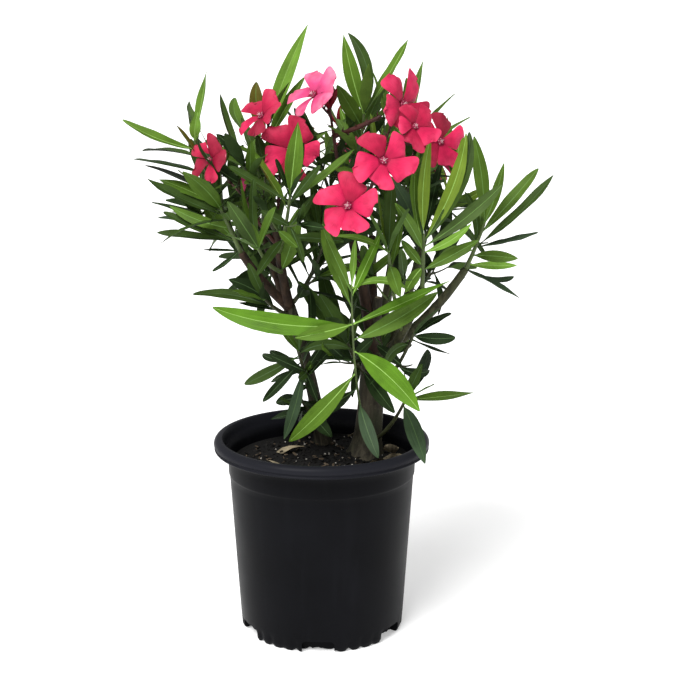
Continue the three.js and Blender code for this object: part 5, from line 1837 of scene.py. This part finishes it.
def make_flowers(settings):
    tones = list(FLOWER_TONES.values())
    materials = [petal_paint("petal_" + tone, getattr(settings, tone)) for tone in tones]
    materials += [petal_paint("petal_base", settings.petal_base),
                  petal_paint("petal_back", settings.petal_back, 0.65)]
    foot, under = len(tones), len(tones) + 1
    petals, throats = Batch(), Batch()
    for number, truss in enumerate(TRUSSES):
        roll = dice(FLOWER_DICE + number)
        for middle, bearing, rise, size, turn, letters in truss["flowers"]:
            middle, out = mm(*middle), heading(bearing, rise)
            # A petal's letter may give it a darker copy of the rose tint, as painted shade.
            for i, letter in enumerate(letters):
                face = tones.index(FLOWER_TONES[letter])
                add_petal(petals, middle, out, 360 / PETALS * i + turn, OPEN_RADIUS * size,
                          (face, foot, under), settings, roll)
            add_throat(throats, middle, out, size, roll, 0, 1)
    replaced = ["blossom_" + truss["name"] for truss in TRUSSES]
    hand_over(petals.build("petals", materials), "blossom", replaced)
    throats = throats.build("flower_throats", [
        petal_paint("corolla_tube", settings.petal_back),
        petal_paint("throat_fringe", settings.fringe, 0.7)])
    hand_over(throats, "blossom")


def make_buds(settings):
    batch = Batch()
    for truss in TRUSSES:
        for middle, out in bud_places(truss, truss_curve(truss)):
            add_bud(batch, middle, out, 1 if truss["name"] == "far_left" else 0)
    buds = batch.build("flower_buds", [petal_paint("dark_bud", settings.bud, 0.4),
                                       petal_paint("pink_bud", settings.pink)])
    hand_over(buds, "blossom")


# Stage

LIGHT_TURN = (38, -16, -12)
FAR_CLIP = 1000


def make_floor(settings):
    """A broad round floor, finer in the middle."""
    radii = (0.2, 0.6, 2.0, 8.0, 30.0, 80.0, settings.floor)
    sides = 64
    angles = circle_angles(sides)
    points = [(0.0, 0.0, 0.0)]
    faces = [(0, 1 + i, 1 + (i + 1) % sides) for i in range(sides)]
    for row, radius in enumerate(radii):
        points += [(radius * math.cos(a), radius * math.sin(a), 0.0) for a in angles]
        if row:
            inner, outer = 1 + (row - 1) * sides, 1 + row * sides
            faces += [(inner + i, outer + i, outer + (i + 1) % sides, inner + (i + 1) % sides)
                      for i in range(sides)]
    mesh = bpy.data.meshes.new("studio_floor")
    mesh.from_pydata(points, [], faces)
    mesh.materials.append(floor_paint())
    add_object("studio_floor", mesh)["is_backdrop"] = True


def make_lights(settings):
    world = bpy.data.worlds.new("studio")
    world.use_nodes = True
    back = world.node_tree.nodes["Background"]
    back.inputs["Color"].default_value = (1.0, 1.0, 1.0, 1.0)
    back.inputs["Strength"].default_value = settings.sky
    bpy.context.scene.world = world
    sun = bpy.data.lights.new("soft_light", "SUN")
    sun.energy = settings.sun
    sun.angle = settings.sun_size
    lamp = add_object("soft_light", sun)
    lamp.rotation_euler = tuple(map(math.radians, LIGHT_TURN))


def make_camera(settings):
    data = bpy.data.cameras.new("camera")
    data.sensor_width = SENSOR
    data.lens = settings.lens
    data.clip_end = FAR_CLIP
    camera = add_object("camera", data)
    camera.location = settings.camera
    camera.rotation_euler = (math.pi / 2 - settings.pitch, 0, -settings.yaw)
    bpy.context.scene.camera = camera
    bpy.context.scene.view_settings.view_transform = "Standard"


# Operators, panel and registration


class OLEANDER_OT_pot(bpy.types.Operator):
    """Make the black nursery pot"""

    bl_idname = "oleander.pot"
    bl_label = "Pot"

    def execute(self, context):
        make_pot(context.scene.oleander_pot)
        return {"FINISHED"}


class OLEANDER_OT_soil(bpy.types.Operator):
    """Fill the pot with bark mix, chips, pale grains and fallen leaves"""

    bl_idname = "oleander.soil"
    bl_label = "Soil"

    def execute(self, context):
        make_soil(context.scene.oleander_soil)
        make_fallen_leaves(context.scene.oleander_soil)
        return {"FINISHED"}


class OLEANDER_OT_limbs(bpy.types.Operator):
    """Grow the stems and boughs with their bark"""

    bl_idname = "oleander.limbs"
    bl_label = "Limbs"

    def execute(self, context):
        make_limbs(context.scene.oleander_wood)
        return {"FINISHED"}


class OLEANDER_OT_twigs(bpy.types.Operator):
    """Grow the leafy twigs"""

    bl_idname = "oleander.twigs"
    bl_label = "Twigs"

    def execute(self, context):
        make_twigs(context.scene.oleander_wood, context.scene.oleander_leaf.fine_twigs)
        return {"FINISHED"}


class OLEANDER_OT_leaves(bpy.types.Operator):
    """Grow the leaves, in three pieces by their age"""

    bl_idname = "oleander.leaves"
    bl_label = "Leaves"

    def execute(self, context):
        make_leaves(context.scene.oleander_leaf)
        return {"FINISHED"}


class OLEANDER_OT_blossom(bpy.types.Operator):
    """Open the flowers on their trusses, with their buds"""

    bl_idname = "oleander.blossom"
    bl_label = "Blossom"

    def execute(self, context):
        settings = context.scene.oleander_blossom
        make_truss_stems(settings)
        make_flowers(settings)
        make_buds(settings)
        return {"FINISHED"}


class OLEANDER_OT_stage(bpy.types.Operator):
    """Set up the floor, the light and the camera"""

    bl_idname = "oleander.stage"
    bl_label = "Stage"

    def execute(self, context):
        settings = context.scene.oleander_stage
        make_floor(settings)
        make_lights(settings)
        make_camera(settings)
        return {"FINISHED"}


STEPS = ("stage", "pot", "soil", "limbs", "twigs", "leaves", "blossom")


class OLEANDER_PT_panel(bpy.types.Panel):
    """The steps that make the plant, in order"""

    bl_idname = "OLEANDER_PT_panel"
    bl_label = "Potted oleander"
    bl_space_type = "VIEW_3D"
    bl_region_type = "UI"
    bl_category = "Oleander"

    def draw(self, context):
        for step in STEPS:
            self.layout.operator("oleander." + step)


SETTINGS = {
    "oleander_pot": PotSettings,
    "oleander_soil": SoilSettings,
    "oleander_wood": WoodSettings,
    "oleander_leaf": LeafSettings,
    "oleander_blossom": BlossomSettings,
    "oleander_stage": StageSettings,
}
CLASSES = (
    *SETTINGS.values(),
    OLEANDER_OT_pot,
    OLEANDER_OT_soil,
    OLEANDER_OT_limbs,
    OLEANDER_OT_twigs,
    OLEANDER_OT_leaves,
    OLEANDER_OT_blossom,
    OLEANDER_OT_stage,
    OLEANDER_PT_panel,
)


def register():
    for cls in CLASSES:
        bpy.utils.register_class(cls)
    for name, group in SETTINGS.items():
        setattr(bpy.types.Scene, name, PointerProperty(type=group))


def unregister():
    for name in SETTINGS:
        delattr(bpy.types.Scene, name)
    for cls in reversed(CLASSES):
        bpy.utils.unregister_class(cls)


def write_sizes():
    """Puts the CAD model's box and the visual model's box side by side in plain numbers; they are not
    written anywhere.
    """
    boxes = {"cad": CAD_BOX, "visual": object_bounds()}
    plain = {name: [list(map(float, corner)) for corner in box] for name, box in boxes.items()}


def main():
    register()
    for step in STEPS:
        getattr(bpy.ops.oleander, step)()
    write_sizes()


if __name__ == "__main__":
    main()
